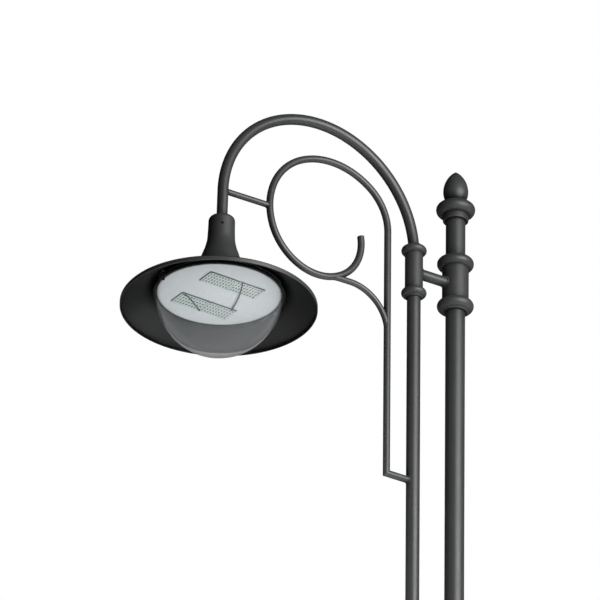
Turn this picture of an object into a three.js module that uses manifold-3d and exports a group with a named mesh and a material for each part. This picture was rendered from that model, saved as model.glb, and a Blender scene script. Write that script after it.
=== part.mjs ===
// Street lamp post: a tubular column with a second tube beside it, a half-circle arm with a
// scroll, and a pendant luminaire with a trumpet shade and a clear bowl that hinges down.
// Millimetres, +Z up. The origin is on the column's axis, at the underside of the base plate.
// The arm reaches towards -X, and the access door faces -Y.
import * as THREE from "three";
import { mergeVertices } from "three/addons/utils/BufferGeometryUtils.js";
import Module from "manifold-3d";

const wasm = await Module();
wasm.setup();

// ---------------------------------------------------------------- driving dimensions
const TIP_Z = 4000; // top of the finial
const GAP = 0.3; // between pieces that touch
const CLEARANCE = 0.4; // between a tube and the socket that it sits in

// Tubes: outside diameter and wall.
const SHAFT = { od: 114.3, wall: 4, sides: 24 };
const POST = { od: 60.3, wall: 3.6, sides: 24 };
const SECOND = { od: 42.4, wall: 3.2, sides: 20 };
const ARM = { od: 33.7, wall: 2.6, sides: 16 };
const SCROLL = { od: 22, wall: 2.5, sides: 12 };
const STRUT = { od: 19, wall: 2.5, sides: 10 };

// Column
const PLATE = { side: 420, thick: 16, corner: 28, holes: 300, holeR: 12 };
const CABLE_HOLE = { y: 31, r: 18 };
const SHAFT_BOTTOM = PLATE.thick + GAP;
const SHAFT_TOP = 1150;
const POST_BOTTOM = 1100;
const CAP_RING_Z = TIP_Z - 133.5;
const FINIAL_SEAT_Z = TIP_Z - 112.9;
const FINIAL = { r: 38.5, rise: 71.5, footR: 27, lowerR: 60 };

// Collars and the second tube
const SECOND_X = -152;
const COLLAR_PITCH = 146.5; // between the two beads of a collar
const UPPER_COLLAR_Z = TIP_Z - 395;
const LOWER_COLLAR_Z = 1450;
const MAIN_COLLAR = { sleeveR: 41, beadR: 56.5, beadMinor: 18, lip: 4 };
const SMALL_COLLAR = { sleeveR: 27.8, beadR: 39, beadMinor: 13, lip: 5 };
const BRIDGE = { od: 33.7, wall: 3.2, sides: 12 };
const SCREW = { r: 4, holeR: 4.4, sides: 8, socketR: 2.4, socket: 5 };
const COLLAR_SCREW = { innerR: 30.6, headR: 46, rise: 22 };

// Arm: half a circle less the luminaire's lean, then a straight leg into the neck.
const ARM_RADIUS = 348.2;
const ARM_SPRING_Z = TIP_Z - 334.7;
const LEAN = 1.5; // degrees that the luminaire leans outwards
const RIM_Z = TIP_Z - 733.9; // height of the middle of the shade's rim

// Scroll: the riser, then bends that tighten into the curl.
const RISER_X = -248.4;
const RISER_BOTTOM_Z = TIP_Z - 1116.9;
const HOOP_START_Z = TIP_Z - 285.4;
const HOOP_BENDS = [
  { radius: 166.6, turn: 53.8, steps: 5 },
  { radius: 236.4, turn: 60, steps: 5 },
  { radius: 212.3, turn: 84.6, steps: 7 },
  { radius: 182, turn: 46.7, steps: 4 },
  { radius: 163.5, turn: 57.6, steps: 6 },
  { radius: 150, turn: 67.4, steps: 6 },
];
const BRANCH_START = 370; // heading of the hoop, in degrees, past which the branch leaves it
const BRANCH_EASE = 168; // radius of the branch's first, gentle bend
const BRANCH_RADIUS = 135.5;
const STRUT_Z = TIP_Z - 324.6;

// Luminaire, in its own frame: z = 0 is the rim plane, +z runs up the arm's leg.
const SHADE = { rimR: 300, lip: 14, topZ: 149, topR: 68, holeR: 9.8, thick: 2.5 };
const SHADE_WAIST = { r: 125, z: 108 }; // control point of the trumpet curve
const NECK = { topZ: 315, lipR: 24, r: 40.5, roundR: 15, footR: 63, cavityR: 40, screwZ: 275 };
const ARM_INSERT = 110; // length of the arm inside the neck
const TRAY = { z: 47, wallR: 189.4, flangeR: 198, flangeZ: 55.5, thick: 2 };
const BOWL = { r: 193, wall: 3, flangeR: 196.5, flange: 4, topZ: 52 };
const RING = { innerR: 193.5, outerR: 201, z0: 44, z1: 52, ledgeZ: 47.6 };
const GASKET = { innerR: 191, outerR: 197 };
const HINGE = { x: 209, z: 51.5, knuckleR: 3.5, pinR: 2, halfLength: 14, innerY: 7.4 };
const HINGE_BRACKET = { halfWidth: 7, x0: 206, x1: 211 };
const LUG = { x0: -214, x1: -199, halfWidth: 9, z0: 44, z1: 50.5, holeR: 3.4 };
const CATCH = { x: -206, stemR: 2.9, z0: 36, z1: 58, knobR: 8, gripLength: 19, gripWidth: 4 };
const BOARD = { length: 96, width: 64, thick: 1.6, x: 49, rows: [-73, 85] };
const SINK = { r: 150, z0: 50.3, base: 6, finTop: 72, finR: 118, fin: 3 };
const FIN_ROWS = [12, 24, 56, 68, 80, 92, 104];
const PILLARS = { x: 45, y: 38, r: 5 };
const DRIVER = { length: 128, width: 48, height: 28, earLength: 148, earWidth: 20, ear: 3 };
const TERMINALS = { x: [-20, 20], y: [30, 52], height: 16, bores: [-13, 0, 13], boreR: 2.6 };
const GLAND = { acrossR: 13, nut: 5, body: 9, domeR: 9.4, dome: 18, boreR: 4 };
const BOLT = { pitchR: 50, shankR: 3, headR: 5.2, headHeight: 4 };
const SHADE_SEGMENTS = 48;
const BOWL_SEGMENTS = 36;

// Door, in the lower shaft
const DOOR = { z0: 380, z1: 670, halfAngle: 44, gapAngle: 1.6, gapZ: 2 };
const DOOR_HINGE = { angle: 52, r: 63, knuckleR: 5.4, pinR: 2.5 };
const DOOR_KNUCKLES = [420, 590]; // bottoms of the door's two knuckles
const KNUCKLE_LENGTH = 40;
const LOCK = { angle: -30, r: 9, z: 525, camLength: 22, camHalf: 5 };

const rad = THREE.MathUtils.degToRad;
const V2 = (x, y) => new THREE.Vector2(x, y);

// ---------------------------------------------------------------- finishes
const FINISHES = {
  satinPaint: { color: 0x4a4c4c, roughness: 0.45, metalness: 0.3 },
  castPaint: { color: 0x464848, roughness: 0.5, metalness: 0.3 },
  shadePaint: { color: 0x3a3b3b, roughness: 0.4, metalness: 0.3 },
  whitePaint: { color: 0xd4dcdd, roughness: 0.5, metalness: 0.1 },
  board: { color: 0xbfd0cc, roughness: 0.4, metalness: 0.1 },
  clear: { color: 0xdfe6e8, roughness: 0.05, metalness: 0 },
  aluminium: { color: 0xb4b7ba, roughness: 0.4, metalness: 0.9 },
  steel: { color: 0x8f9294, roughness: 0.35, metalness: 0.9 },
  brass: { color: 0xb08d3c, roughness: 0.35, metalness: 0.9 },
  rubber: { color: 0x1c1c1c, roughness: 0.9, metalness: 0 },
  blackPlastic: { color: 0x232425, roughness: 0.55, metalness: 0 },
  greyPlastic: { color: 0x9a9d9c, roughness: 0.5, metalness: 0 },
};

// ---------------------------------------------------------------- shape helpers
// A closed solid from any closed three.js geometry.
function solid(geometry) {
  const bare = geometry.clone();
  bare.deleteAttribute("normal");
  bare.deleteAttribute("uv");
  const merged = mergeVertices(bare, 1e-4);
  return new wasm.Manifold(
    new wasm.Mesh({
      numProp: 3,
      vertProperties: merged.attributes.position.array,
      triVerts: new Uint32Array(merged.index.array),
    }),
  );
}

function geometryOf(body) {
  const mesh = body.getMesh();
  const geometry = new THREE.BufferGeometry();
  geometry.setAttribute("position", new THREE.BufferAttribute(mesh.vertProperties, 3));
  geometry.setIndex(new THREE.BufferAttribute(mesh.triVerts, 1));
  const flat = geometry.toNonIndexed();
  flat.computeVertexNormals();
  return flat;
}

// Points of an arc in a profile, from one angle to another, in degrees.
function arc(r, z, radius, from, to, steps) {
  const points = [];
  for (let i = 0; i <= steps; i++) {
    const angle = rad(from + ((to - from) * i) / steps);
    points.push([r + radius * Math.cos(angle), z + radius * Math.sin(angle)]);
  }
  return points;
}

// A solid of revolution about Z. The profile is [r, z] pairs that close on themselves or
// start and end on the axis, in either direction.
function turned(profile, segments) {
  const points = profile.map(([r, z]) => V2(r, z));
  if (THREE.ShapeUtils.area(points) < 0) points.reverse();
  if (points[0].x > 0) points.push(points[0].clone());
  const geometry = new THREE.LatheGeometry(points, segments);
  geometry.rotateX(Math.PI / 2);
  return solid(geometry);
}

function ringProfile(innerR, outerR, z0, z1) {
  return [[innerR, z0], [outerR, z0], [outerR, z1], [innerR, z1]];
}

function rod(r, z0, z1, segments) {
  return turned([[0, z0], [r, z0], [r, z1], [0, z1]], segments);
}

function block(x0, x1, y0, y1, z0, z1) {
  const geometry = new THREE.BoxGeometry(x1 - x0, y1 - y0, z1 - z0);
  geometry.translate((x0 + x1) / 2, (y0 + y1) / 2, (z0 + z1) / 2);
  return solid(geometry);
}

// An outline of [x, y] points, extruded along Z from z0 to z1.
function prism(outline, z0, z1) {
  const shape = new THREE.Shape(outline.map(([x, y]) => V2(x, y)));
  const geometry = new THREE.ExtrudeGeometry(shape, { depth: z1 - z0, bevelEnabled: false });
  geometry.translate(0, 0, z0);
  return solid(geometry);
}

function polygon(sides, r) {
  const points = [];
  for (let i = 0; i < sides; i++) {
    const angle = (2 * Math.PI * i) / sides;
    points.push([r * Math.cos(angle), r * Math.sin(angle)]);
  }
  return points;
}

function moved(body, x, y, z) {
  return body.translate([x, y, z]);
}

// A body whose axis is Z, laid along X or along Y.
const alongX = (body) => body.rotate([0, 90, 0]);
const alongY = (body) => body.rotate([-90, 0, 0]);

// The centre line of a bent tube in the XZ plane: straight runs and bends that meet tangentially.
// A positive turn bends to the left of the heading.
class BendLine extends THREE.Curve {
  constructor(x, z, heading, moves) {
    super();
    let angle = heading;
    let here = V2(x, z);
    this.stations = [{ at: here.clone(), angle }];
    for (const move of moves) {
      const steps = move.steps ?? 1;
      const chordTurn = (move.turn ?? 0) / steps;
      const chord = move.run ?? 2 * move.radius * Math.sin(rad(Math.abs(chordTurn) / 2));
      for (let i = 0; i < steps; i++) {
        const direction = rad(angle + chordTurn / 2);
        here.x += chord * Math.cos(direction);
        here.y += chord * Math.sin(direction);
        angle += chordTurn;
        this.stations.push({ at: here.clone(), angle });
      }
    }
  }
  get steps() {
    return this.stations.length - 1;
  }
  get end() {
    return this.stations[this.steps];
  }
  station(u) {
    return this.stations[Math.round(u * this.steps)];
  }
  getPointAt(u) {
    const { at } = this.station(u);
    return new THREE.Vector3(at.x, 0, at.y);
  }
  getTangentAt(u) {
    const angle = rad(this.station(u).angle);
    return new THREE.Vector3(Math.cos(angle), 0, Math.sin(angle));
  }
}

// A tube of the given size along a bend line. The wall is left out for a solid bar. The bore,
// which nothing slides in, has half as many sides as the outside.
function bentTube(line, od, sides, wall) {
  const shape = new THREE.Shape(polygon(sides, od / 2).map(([x, y]) => V2(x, y)));
  if (wall) {
    shape.holes.push(new THREE.Path(polygon(sides / 2, od / 2 - wall).map(([x, y]) => V2(x, y))));
  }
  const geometry = new THREE.ExtrudeGeometry(shape, { steps: line.steps, extrudePath: line });
  return solid(geometry);
}

function straightTube(size, z0, z1) {
  return turned(ringProfile(size.od / 2 - size.wall, size.od / 2, z0, z1), size.sides);
}

// The largest body of a cut, which drops slivers left where two round surfaces graze.
function largest(body) {
  return body.decompose().reduce((a, b) => (a.volume() > b.volume() ? a : b));
}

// ---------------------------------------------------------------- scene graph
const lampPost = new THREE.Group();
const luminaire = new THREE.Group();
lampPost.add(luminaire);

function piece(name, finish, body, parent = lampPost) {
  const material = new THREE.MeshStandardMaterial(FINISHES[finish]);
  const mesh = new THREE.Mesh(geometryOf(body), material);
  mesh.name = name;
  parent.add(mesh);
  return mesh;
}

const inLuminaire = (name, finish, body) => piece(name, finish, body, luminaire);

// ---------------------------------------------------------------- base
function basePlate() {
  const half = PLATE.side / 2;
  const corner = half - PLATE.corner;
  const outline = [];
  for (const [sx, sy, from] of [[1, 1, 0], [-1, 1, 90], [-1, -1, 180], [1, -1, 270]]) {
    outline.push(...arc(sx * corner, sy * corner, PLATE.corner, from, from + 90, 4));
  }
  let plate = prism(outline, 0, PLATE.thick);
  for (const x of [-0.5, 0.5]) {
    for (const y of [-0.5, 0.5]) {
      const hole = rod(PLATE.holeR, -1, PLATE.thick + 1, 16);
      plate = plate.subtract(moved(hole, x * PLATE.holes, y * PLATE.holes, 0));
    }
  }
  const cableHole = rod(CABLE_HOLE.r, -1, PLATE.thick + 1, 16);
  return plate.subtract(moved(cableHole, 0, CABLE_HOLE.y, 0));
}

function baseCasting() {
  const foot = PLATE.thick + GAP;
  const boreR = SHAFT.od / 2 + CLEARANCE;
  return turned([
    [150, foot], [170, foot], [170, 34],
    ...arc(158, 34, 12, 0, 90, 2),
    ...arc(150, 84, 38, 270, 180, 2),
    ...arc(112, 92, 8, -90, 90, 2),
    [104, 100], [78, 226],
    ...arc(78, 234, 8, -90, 90, 2),
    [71, 242], [66, 262], [boreR, 262],
    [boreR, 240], [70, 226], [94, 100], [94, 60], [110, 40], [150, 28],
  ], SHAFT.sides);
}

piece("base_plate", "satinPaint", basePlate());
piece("base_casting", "castPaint", baseCasting());

// ---------------------------------------------------------------- lower shaft and its door
// A sector of a tube about Z, between two angles measured from -Y towards +X.
function sector(innerR, outerR, fromAngle, toAngle, z0, z1, steps) {
  const outer = arc(0, 0, outerR, fromAngle - 90, toAngle - 90, steps);
  const inner = arc(0, 0, innerR, toAngle - 90, fromAngle - 90, steps);
  return prism([...outer, ...inner], z0, z1);
}

const shaftR = SHAFT.od / 2;
const shaftInnerR = shaftR - SHAFT.wall;
const hingeAngle = rad(DOOR_HINGE.angle - 90);
const doorHingeX = DOOR_HINGE.r * Math.cos(hingeAngle);
const doorHingeY = DOOR_HINGE.r * Math.sin(hingeAngle);
const atDoorHinge = (body) => moved(body, doorHingeX, doorHingeY, 0);

// A body built along Z, laid radially through the door at the lock's place.
const atLock = (body) => moved(body.rotate([90, 0, 0]).rotate([0, 0, LOCK.angle]), 0, 0, LOCK.z);

function lowerShaft() {
  const open = DOOR.halfAngle + DOOR.gapAngle;
  const opening = sector(40, 70, -open, open, DOOR.z0 - DOOR.gapZ, DOOR.z1 + DOOR.gapZ, 8);
  return straightTube(SHAFT, SHAFT_BOTTOM, SHAFT_TOP).subtract(opening);
}

function accessDoor() {
  const half = DOOR.halfAngle;
  let door = sector(shaftInnerR, shaftR, -half, half, DOOR.z0, DOOR.z1, 8);
  const tabInner = shaftR + 0.4;
  for (const z of DOOR_KNUCKLES) {
    const top = z + KNUCKLE_LENGTH;
    const tab = sector(tabInner, tabInner + 3, half - 6, DOOR_HINGE.angle, z, top, 3);
    const leaf = sector(shaftR - 1, tabInner + 3, half - 6, half - 0.5, z, top, 2);
    const knuckle = atDoorHinge(rod(DOOR_HINGE.knuckleR, z, top, 16));
    door = door.add(tab).add(leaf).add(knuckle);
  }
  const bore = atDoorHinge(rod(DOOR_HINGE.pinR + 0.1, DOOR.z0, DOOR.z1, 16));
  const lockBore = atLock(rod(LOCK.r + GAP, 40, 70, 16));
  return door.subtract(bore).subtract(lockBore);
}

// The fixed knuckle between the door's two, on a pad that is welded to the shaft.
function doorHingeBlock() {
  const z0 = DOOR_KNUCKLES[0] + KNUCKLE_LENGTH + GAP;
  const z1 = DOOR_KNUCKLES[1] - GAP;
  const padR = shaftR + GAP;
  const pad = sector(padR, padR + 3, DOOR_HINGE.angle, DOOR_HINGE.angle + 16, z0, z1, 3);
  const knuckle = atDoorHinge(rod(DOOR_HINGE.knuckleR, z0, z1, 16));
  const bore = atDoorHinge(rod(DOOR_HINGE.pinR + 0.1, z0 - 1, z1 + 1, 16));
  return pad.add(knuckle).subtract(bore);
}

function doorLock() {
  const barrel = rod(LOCK.r, 47, 60, 16);
  const socket = prism(polygon(3, 5), 56, 61);
  const cam = block(-LOCK.camHalf, LOCK.camHalf, -LOCK.camHalf, LOCK.camLength, 44, 47.5);
  return atLock(barrel.subtract(socket).add(cam));
}

piece("lower_shaft", "satinPaint", lowerShaft());
piece("access_door", "satinPaint", accessDoor());
piece("door_hinge_block", "satinPaint", doorHingeBlock());
const doorPinTop = DOOR_KNUCKLES[1] + KNUCKLE_LENGTH + 4;
const doorPin = rod(DOOR_HINGE.pinR, DOOR_KNUCKLES[0] - 4, doorPinTop, 16);
piece("door_hinge_pin", "steel", atDoorHinge(doorPin));
piece("door_lock", "steel", doorLock());

// Gear behind the door: a board that spans the shaft, the fuse box and its carrier.
const BACKBOARD = { halfWidth: 46, y0: 14, y1: 22, z0: 360, z1: 690 };
const FUSE_BOX = { halfWidth: 22, y0: -10, y1: 13.7, z0: 470, z1: 570 };
const CARRIER = { halfWidth: 11, y0: -14, y1: 8, z0: 500, z1: 540 };

function fuseBox() {
  const f = FUSE_BOX;
  const c = CARRIER;
  const body = block(-f.halfWidth, f.halfWidth, f.y0, f.y1, f.z0, f.z1);
  const w = c.halfWidth + CLEARANCE;
  const slot = block(-w, w, f.y0 - 1, c.y1 + GAP, c.z0 - CLEARANCE, c.z1 + CLEARANCE);
  const entry = moved(rod(7, f.z0 - 12, f.z0 + 1, 12), 0, 2, 0);
  return body.subtract(slot).add(entry);
}

function fuseCarrier() {
  const c = CARRIER;
  const body = block(-c.halfWidth, c.halfWidth, c.y0, c.y1, c.z0, c.z1);
  const grip = block(-3, 3, c.y0 - 5, c.y0 + 1, c.z0 + 8, c.z1 - 8);
  return body.add(grip);
}

const b = BACKBOARD;
piece("backboard", "blackPlastic", block(-b.halfWidth, b.halfWidth, b.y0, b.y1, b.z0, b.z1));
piece("fuse_box", "greyPlastic", fuseBox());
piece("fuse_carrier", "blackPlastic", fuseCarrier());
const studNut = prism(polygon(6, 9), 5, 13.7).add(rod(4, -6, 13.7, 12));
piece("earth_stud", "brass", moved(alongY(studNut), 30, 0, 420));

// ---------------------------------------------------------------- upper column
function shaftReducer() {
  const skirtR = shaftR + CLEARANCE;
  const boreR = POST.od / 2 + CLEARANCE;
  const seat = SHAFT_TOP + GAP;
  return turned([
    [skirtR, seat - 22], [66, seat - 22],
    ...arc(62, seat - 10, 9, -60, 90, 2),
    [57, seat + 4],
    ...arc(100, seat + 86, 58, 235, 180, 3),
    ...arc(40, seat + 98, 8, -60, 90, 2),
    [36, seat + 112], [boreR, seat + 112],
    [boreR, seat], [skirtR, seat],
  ], SHAFT.sides);
}

function postCap() {
  const boreR = POST.od / 2 + CLEARANCE;
  return turned([
    [boreR, CAP_RING_Z - 40], [38, CAP_RING_Z - 40], [39.5, CAP_RING_Z - 38],
    [39.5, CAP_RING_Z - 20],
    ...arc(40, CAP_RING_Z, 20, -88, 90, 6),
    [0, CAP_RING_Z + 20], [0, CAP_RING_Z + 5], [boreR, CAP_RING_Z + 5],
  ], POST.sides);
}

// An acorn: an ogive above its widest point, a flatter arc below it.
function finial() {
  const { r, rise, footR, lowerR } = FINIAL;
  const widestZ = TIP_Z - rise;
  const ogive = (r ** 2 + rise ** 2) / (2 * r);
  const tipAngle = THREE.MathUtils.radToDeg(Math.asin(rise / ogive));
  return turned([
    [0, FINIAL_SEAT_Z + GAP], [footR, FINIAL_SEAT_Z + GAP],
    ...arc(r - lowerR, widestZ, lowerR, -38, 0, 3),
    ...arc(r - ogive, widestZ, ogive, tipAngle / 6, tipAngle * 0.97, 5),
    [0, TIP_Z],
  ], 20);
}

piece("shaft_reducer", "castPaint", shaftReducer());
const postTop = CAP_RING_Z + 5 - GAP;
piece("main_post", "satinPaint", straightTube(POST, POST_BOTTOM, postTop));
piece("post_cap", "castPaint", postCap());
piece("finial", "castPaint", finial());

// ---------------------------------------------------------------- arm
const armRise = ARM_SPRING_Z - UPPER_COLLAR_Z - GAP;
const armMoves = [
  { run: armRise },
  { radius: ARM_RADIUS, turn: 90, steps: 11 },
  { radius: ARM_RADIUS, turn: 90 - LEAN, steps: 11 },
];
const armBend = new BendLine(SECOND_X, UPPER_COLLAR_Z + GAP, 90, armMoves).end.at;
const leanUp = V2(Math.sin(rad(LEAN)), Math.cos(rad(LEAN)));
const legToRim = (armBend.y - RIM_Z) / leanUp.y;
const rimX = armBend.x - legToRim * leanUp.x;
const legRun = legToRim - NECK.topZ + ARM_INSERT;
const armPath = [...armMoves, { run: legRun }];
const armLine = new BendLine(SECOND_X, UPPER_COLLAR_Z + GAP, 90, armPath);
const armCore = bentTube(armLine, ARM.od + 2 * GAP, ARM.sides);
const armSocket = bentTube(armLine, ARM.od + 2 * CLEARANCE, ARM.sides);
const armBoreR = ARM.od / 2 + CLEARANCE;
piece("arm", "satinPaint", bentTube(armLine, ARM.od, ARM.sides, ARM.wall));

luminaire.position.set(rimX, 0, RIM_Z);
luminaire.rotation.y = rad(LEAN);

// ---------------------------------------------------------------- collars, bridges, second tube
// A sleeve with a bead near each end. It may be bored to one radius from below and to another
// from above.
function collar(size, z, lowerBoreR, upperBoreR, segments) {
  const half = COLLAR_PITCH / 2;
  const major = size.beadR - size.beadMinor;
  const lipR = size.beadR - 1.1 * size.beadMinor;
  const endZ = half + size.beadMinor + size.lip;
  const reach = THREE.MathUtils.radToDeg(Math.acos((size.sleeveR - major) / size.beadMinor));
  const bead = (middle) => arc(major, middle, size.beadMinor, -reach, reach, 4);
  return moved(turned([
    [lowerBoreR, -endZ], [lipR, -endZ],
    ...bead(-half), ...bead(half),
    [lipR, endZ], [upperBoreR, endZ],
    [upperBoreR, 0], [lowerBoreR, 0],
  ], segments), 0, 0, z);
}

function mainCollar(z) {
  const boreR = POST.od / 2 + CLEARANCE;
  const hole = alongX(rod(SCREW.holeR, 0, MAIN_COLLAR.beadR, SCREW.sides));
  return collar(MAIN_COLLAR, z, boreR, boreR, POST.sides)
    .subtract(moved(hole, 0, 0, z + COLLAR_SCREW.rise));
}

// The bridge tube, coped to the sleeves at both ends.
function bridge(z) {
  const size = BRIDGE;
  const ring = turned(ringProfile(size.od / 2 - size.wall, size.od / 2, 0, -SECOND_X), size.sides);
  const tube = moved(alongX(ring), SECOND_X, 0, z);
  const mainSleeve = rod(MAIN_COLLAR.sleeveR + GAP, z - 40, z + 40, POST.sides);
  const smallR = SMALL_COLLAR.sleeveR + GAP;
  const smallSleeve = moved(rod(smallR, z - 40, z + 40, SECOND.sides), SECOND_X, 0, 0);
  return largest(tube.subtract(mainSleeve).subtract(smallSleeve));
}

function secondTubeCap() {
  const top = LOWER_COLLAR_Z - COLLAR_PITCH / 2 - SMALL_COLLAR.beadMinor - SMALL_COLLAR.lip;
  return moved(turned([
    [0, top - 62], [8, top - 58],
    ...arc(0, top - 40, 19, -60, 40, 3),
    [13, top - 24], [22, top - 14], [26, top - 4], [22, top - GAP], [0, top - GAP],
  ], SECOND.sides), SECOND_X, 0, 0);
}


// A grub screw laid along X, with a hexagon socket in its outer end.
function grubScrew(innerR, outerR) {
  const socket = prism(polygon(6, SCREW.socketR), outerR - SCREW.socket, outerR + 1);
  return alongX(rod(SCREW.r, innerR, outerR, SCREW.sides).subtract(socket));
}

const collarScrew = grubScrew(COLLAR_SCREW.innerR, COLLAR_SCREW.headR);
const secondBoreR = SECOND.od / 2 + CLEARANCE;

// The arm already bends inside the upper collar, so its bore follows the arm.
function smallCollar(place, z) {
  const upperBoreR = place === "upper" ? ARM.od / 2 - 2 : secondBoreR;
  const sleeve = collar(SMALL_COLLAR, z, secondBoreR, upperBoreR, SECOND.sides);
  return moved(sleeve, SECOND_X, 0, 0).subtract(armSocket);
}

for (const [place, z] of [["upper", UPPER_COLLAR_Z], ["lower", LOWER_COLLAR_Z]]) {
  piece(`main_collar_${place}`, "castPaint", mainCollar(z));
  piece(`small_collar_${place}`, "castPaint", smallCollar(place, z));
  piece(`bridge_${place}`, "satinPaint", bridge(z));
  piece(`collar_screw_${place}`, "steel", moved(collarScrew, 0, 0, z + COLLAR_SCREW.rise));
}
const secondBottom = LOWER_COLLAR_Z - COLLAR_PITCH / 2 - SMALL_COLLAR.beadMinor;
const secondTube = straightTube(SECOND, secondBottom, UPPER_COLLAR_Z - GAP);
piece("second_tube", "satinPaint", moved(secondTube, SECOND_X, 0, 0));
piece("second_tube_cap", "castPaint", secondTubeCap());

// ---------------------------------------------------------------- scroll
const hoopLine = new BendLine(RISER_X, HOOP_START_Z, 90, HOOP_BENDS);
const hoopCore = bentTube(hoopLine, SCROLL.od + 2 * GAP, SCROLL.sides);
const riserRun = { run: HOOP_START_Z - RISER_BOTTOM_Z - GAP };

// A tube whose end is mitred at 45 degrees where the riser turns into the foot.
function scrollRiser() {
  const line = new BendLine(RISER_X, RISER_BOTTOM_Z - 20, 90, [{ run: riserRun.run + 20 }]);
  const tube = bentTube(line, SCROLL.od, SCROLL.sides, SCROLL.wall);
  return tube.subtract(mitreWedge(-GAP / 2));
}

// The half space under the 45 degree plane through the corner, as a large prism.
function mitreWedge(offset) {
  const size = 150;
  const outline = [[-size, -size + offset], [size, size + offset], [size, -size + offset]];
  const wedge = prism(outline, -size, size).rotate([90, 0, 0]);
  return moved(wedge, RISER_X, 0, RISER_BOTTOM_Z);
}

function scrollFoot() {
  const line = new BendLine(RISER_X - 20, RISER_BOTTOM_Z, 0, [{ run: SECOND_X - RISER_X + 20 }]);
  const tube = bentTube(line, SCROLL.od, SCROLL.sides, SCROLL.wall);
  const z = RISER_BOTTOM_Z;
  const post = moved(rod(SECOND.od / 2 + GAP, z - 30, z + 30, SECOND.sides), SECOND_X, 0, 0);
  return largest(tube.intersect(mitreWedge(-GAP)).subtract(post));
}

// The branch leaves the hoop just past its lowest point and comes down onto the riser.
function scrollBranch() {
  const start = hoopLine.stations.find(({ angle }) => angle > BRANCH_START);
  const ease = start.angle - 360;
  const easeEndX = start.at.x + BRANCH_EASE * Math.sin(rad(ease));
  const line = new BendLine(start.at.x, start.at.y, ease, [
    { radius: BRANCH_EASE, turn: -ease, steps: 2 },
    { run: RISER_X - BRANCH_RADIUS - easeEndX },
    { radius: BRANCH_RADIUS, turn: -90, steps: 10 },
  ]);
  const end = line.end.at;
  const riserLine = new BendLine(RISER_X, end.y - 60, 90, [{ run: 300 }]);
  const riser = bentTube(riserLine, SCROLL.od + 2 * GAP, SCROLL.sides);
  const tube = bentTube(line, STRUT.od, STRUT.sides, STRUT.wall);
  return largest(tube.subtract(hoopCore).subtract(riser));
}

function luminaireStrut() {
  const hoopLeft = Math.min(...hoopLine.stations.map(({ at }) => at.x));
  const line = new BendLine(armBend.x, STRUT_Z, 0, [{ run: hoopLeft - armBend.x }]);
  const tube = bentTube(line, STRUT.od, STRUT.sides, STRUT.wall);
  return largest(tube.subtract(hoopCore).subtract(armCore));
}

piece("scroll_riser", "satinPaint", scrollRiser());
piece("scroll_hoop", "satinPaint", bentTube(hoopLine, SCROLL.od, SCROLL.sides, SCROLL.wall));
piece("scroll_branch", "satinPaint", scrollBranch());
piece("scroll_foot", "satinPaint", scrollFoot());
piece("luminaire_strut", "satinPaint", luminaireStrut());

// ---------------------------------------------------------------- luminaire: neck and shade
function neckCasting() {
  const foot = SHADE.topZ + GAP;
  const armBottom = NECK.topZ - ARM_INSERT;
  const casting = turned([
    [armBoreR, NECK.topZ], [NECK.lipR, NECK.topZ],
    ...arc(NECK.r - NECK.roundR, NECK.topZ - NECK.roundR, NECK.roundR, 80, 0, 3),
    [42, 244], [44, 226], [46.6, 214], [49.8, 202], [54.2, 190], [59, 176],
    [NECK.footR, foot + 11], [NECK.footR + 4, foot], [NECK.cavityR, foot],
    [28, armBottom - 12], [12, armBottom - 2], [12, armBottom - 1], [armBoreR, armBottom - 1],
  ], 20);
  let cut = casting;
  for (const angle of [0, 120, 240]) {
    const hole = moved(alongX(rod(SCREW.holeR, 0, 60, SCREW.sides)), 0, 0, NECK.screwZ);
    cut = cut.subtract(hole.rotate([0, 0, angle]));
  }
  for (const angle of [0, 90, 180, 270]) {
    const hole = moved(rod(BOLT.shankR + GAP, foot - 1, foot + 18, 8), BOLT.pitchR, 0, 0);
    cut = cut.subtract(hole.rotate([0, 0, angle]));
  }
  return cut;
}

// The outer line of the trumpet, from the flat top to the lip.
const trumpet = new THREE.QuadraticBezierCurve(
  V2(SHADE.topR, SHADE.topZ),
  V2(SHADE_WAIST.r, SHADE_WAIST.z),
  V2(SHADE.rimR - 4, SHADE.lip + 2),
);

function shade() {
  const outer = trumpet.getPoints(5).map(({ x, y }) => [x, y]);
  const inner = outer.map(([r, z]) => [r - 1.5, z - SHADE.thick]).reverse();
  const { rimR, holeR, topZ, thick } = SHADE;
  const skin = turned([
    [holeR, topZ], ...outer,
    [rimR, SHADE.lip - 2], [rimR, 1], [rimR - 1, 0], [rimR - 3.5, 0],
    [rimR - 3.5, SHADE.lip - 4],
    ...inner, [holeR, topZ - thick],
  ], SHADE_SEGMENTS);
  let cut = skin;
  for (const angle of [0, 90, 180, 270]) {
    const hole = moved(rod(BOLT.shankR + GAP, topZ - 6, topZ + 1, 8), BOLT.pitchR, 0, 0);
    cut = cut.subtract(hole.rotate([0, 0, angle]));
  }
  return cut;
}

inLuminaire("neck_casting", "castPaint", neckCasting());
inLuminaire("shade", "shadePaint", shade());

const neckScrew = moved(grubScrew(ARM.od / 2 + GAP, NECK.r - 1.5), 0, 0, NECK.screwZ);
[0, 120, 240].forEach((angle, i) => {
  inLuminaire(`neck_screw_${i + 1}`, "steel", neckScrew.rotate([0, 0, angle]));
});

const boltTop = SHADE.topZ + 15;
const boltHeadTop = SHADE.topZ - SHADE.thick - GAP;
const bolt = prism(polygon(6, BOLT.headR), boltHeadTop - BOLT.headHeight, boltHeadTop)
  .add(rod(BOLT.shankR, boltHeadTop - 1, boltTop, 8));
[0, 90, 180, 270].forEach((angle, i) => {
  inLuminaire(`neck_bolt_${i + 1}`, "steel", moved(bolt, BOLT.pitchR, 0, 0).rotate([0, 0, angle]));
});

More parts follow.
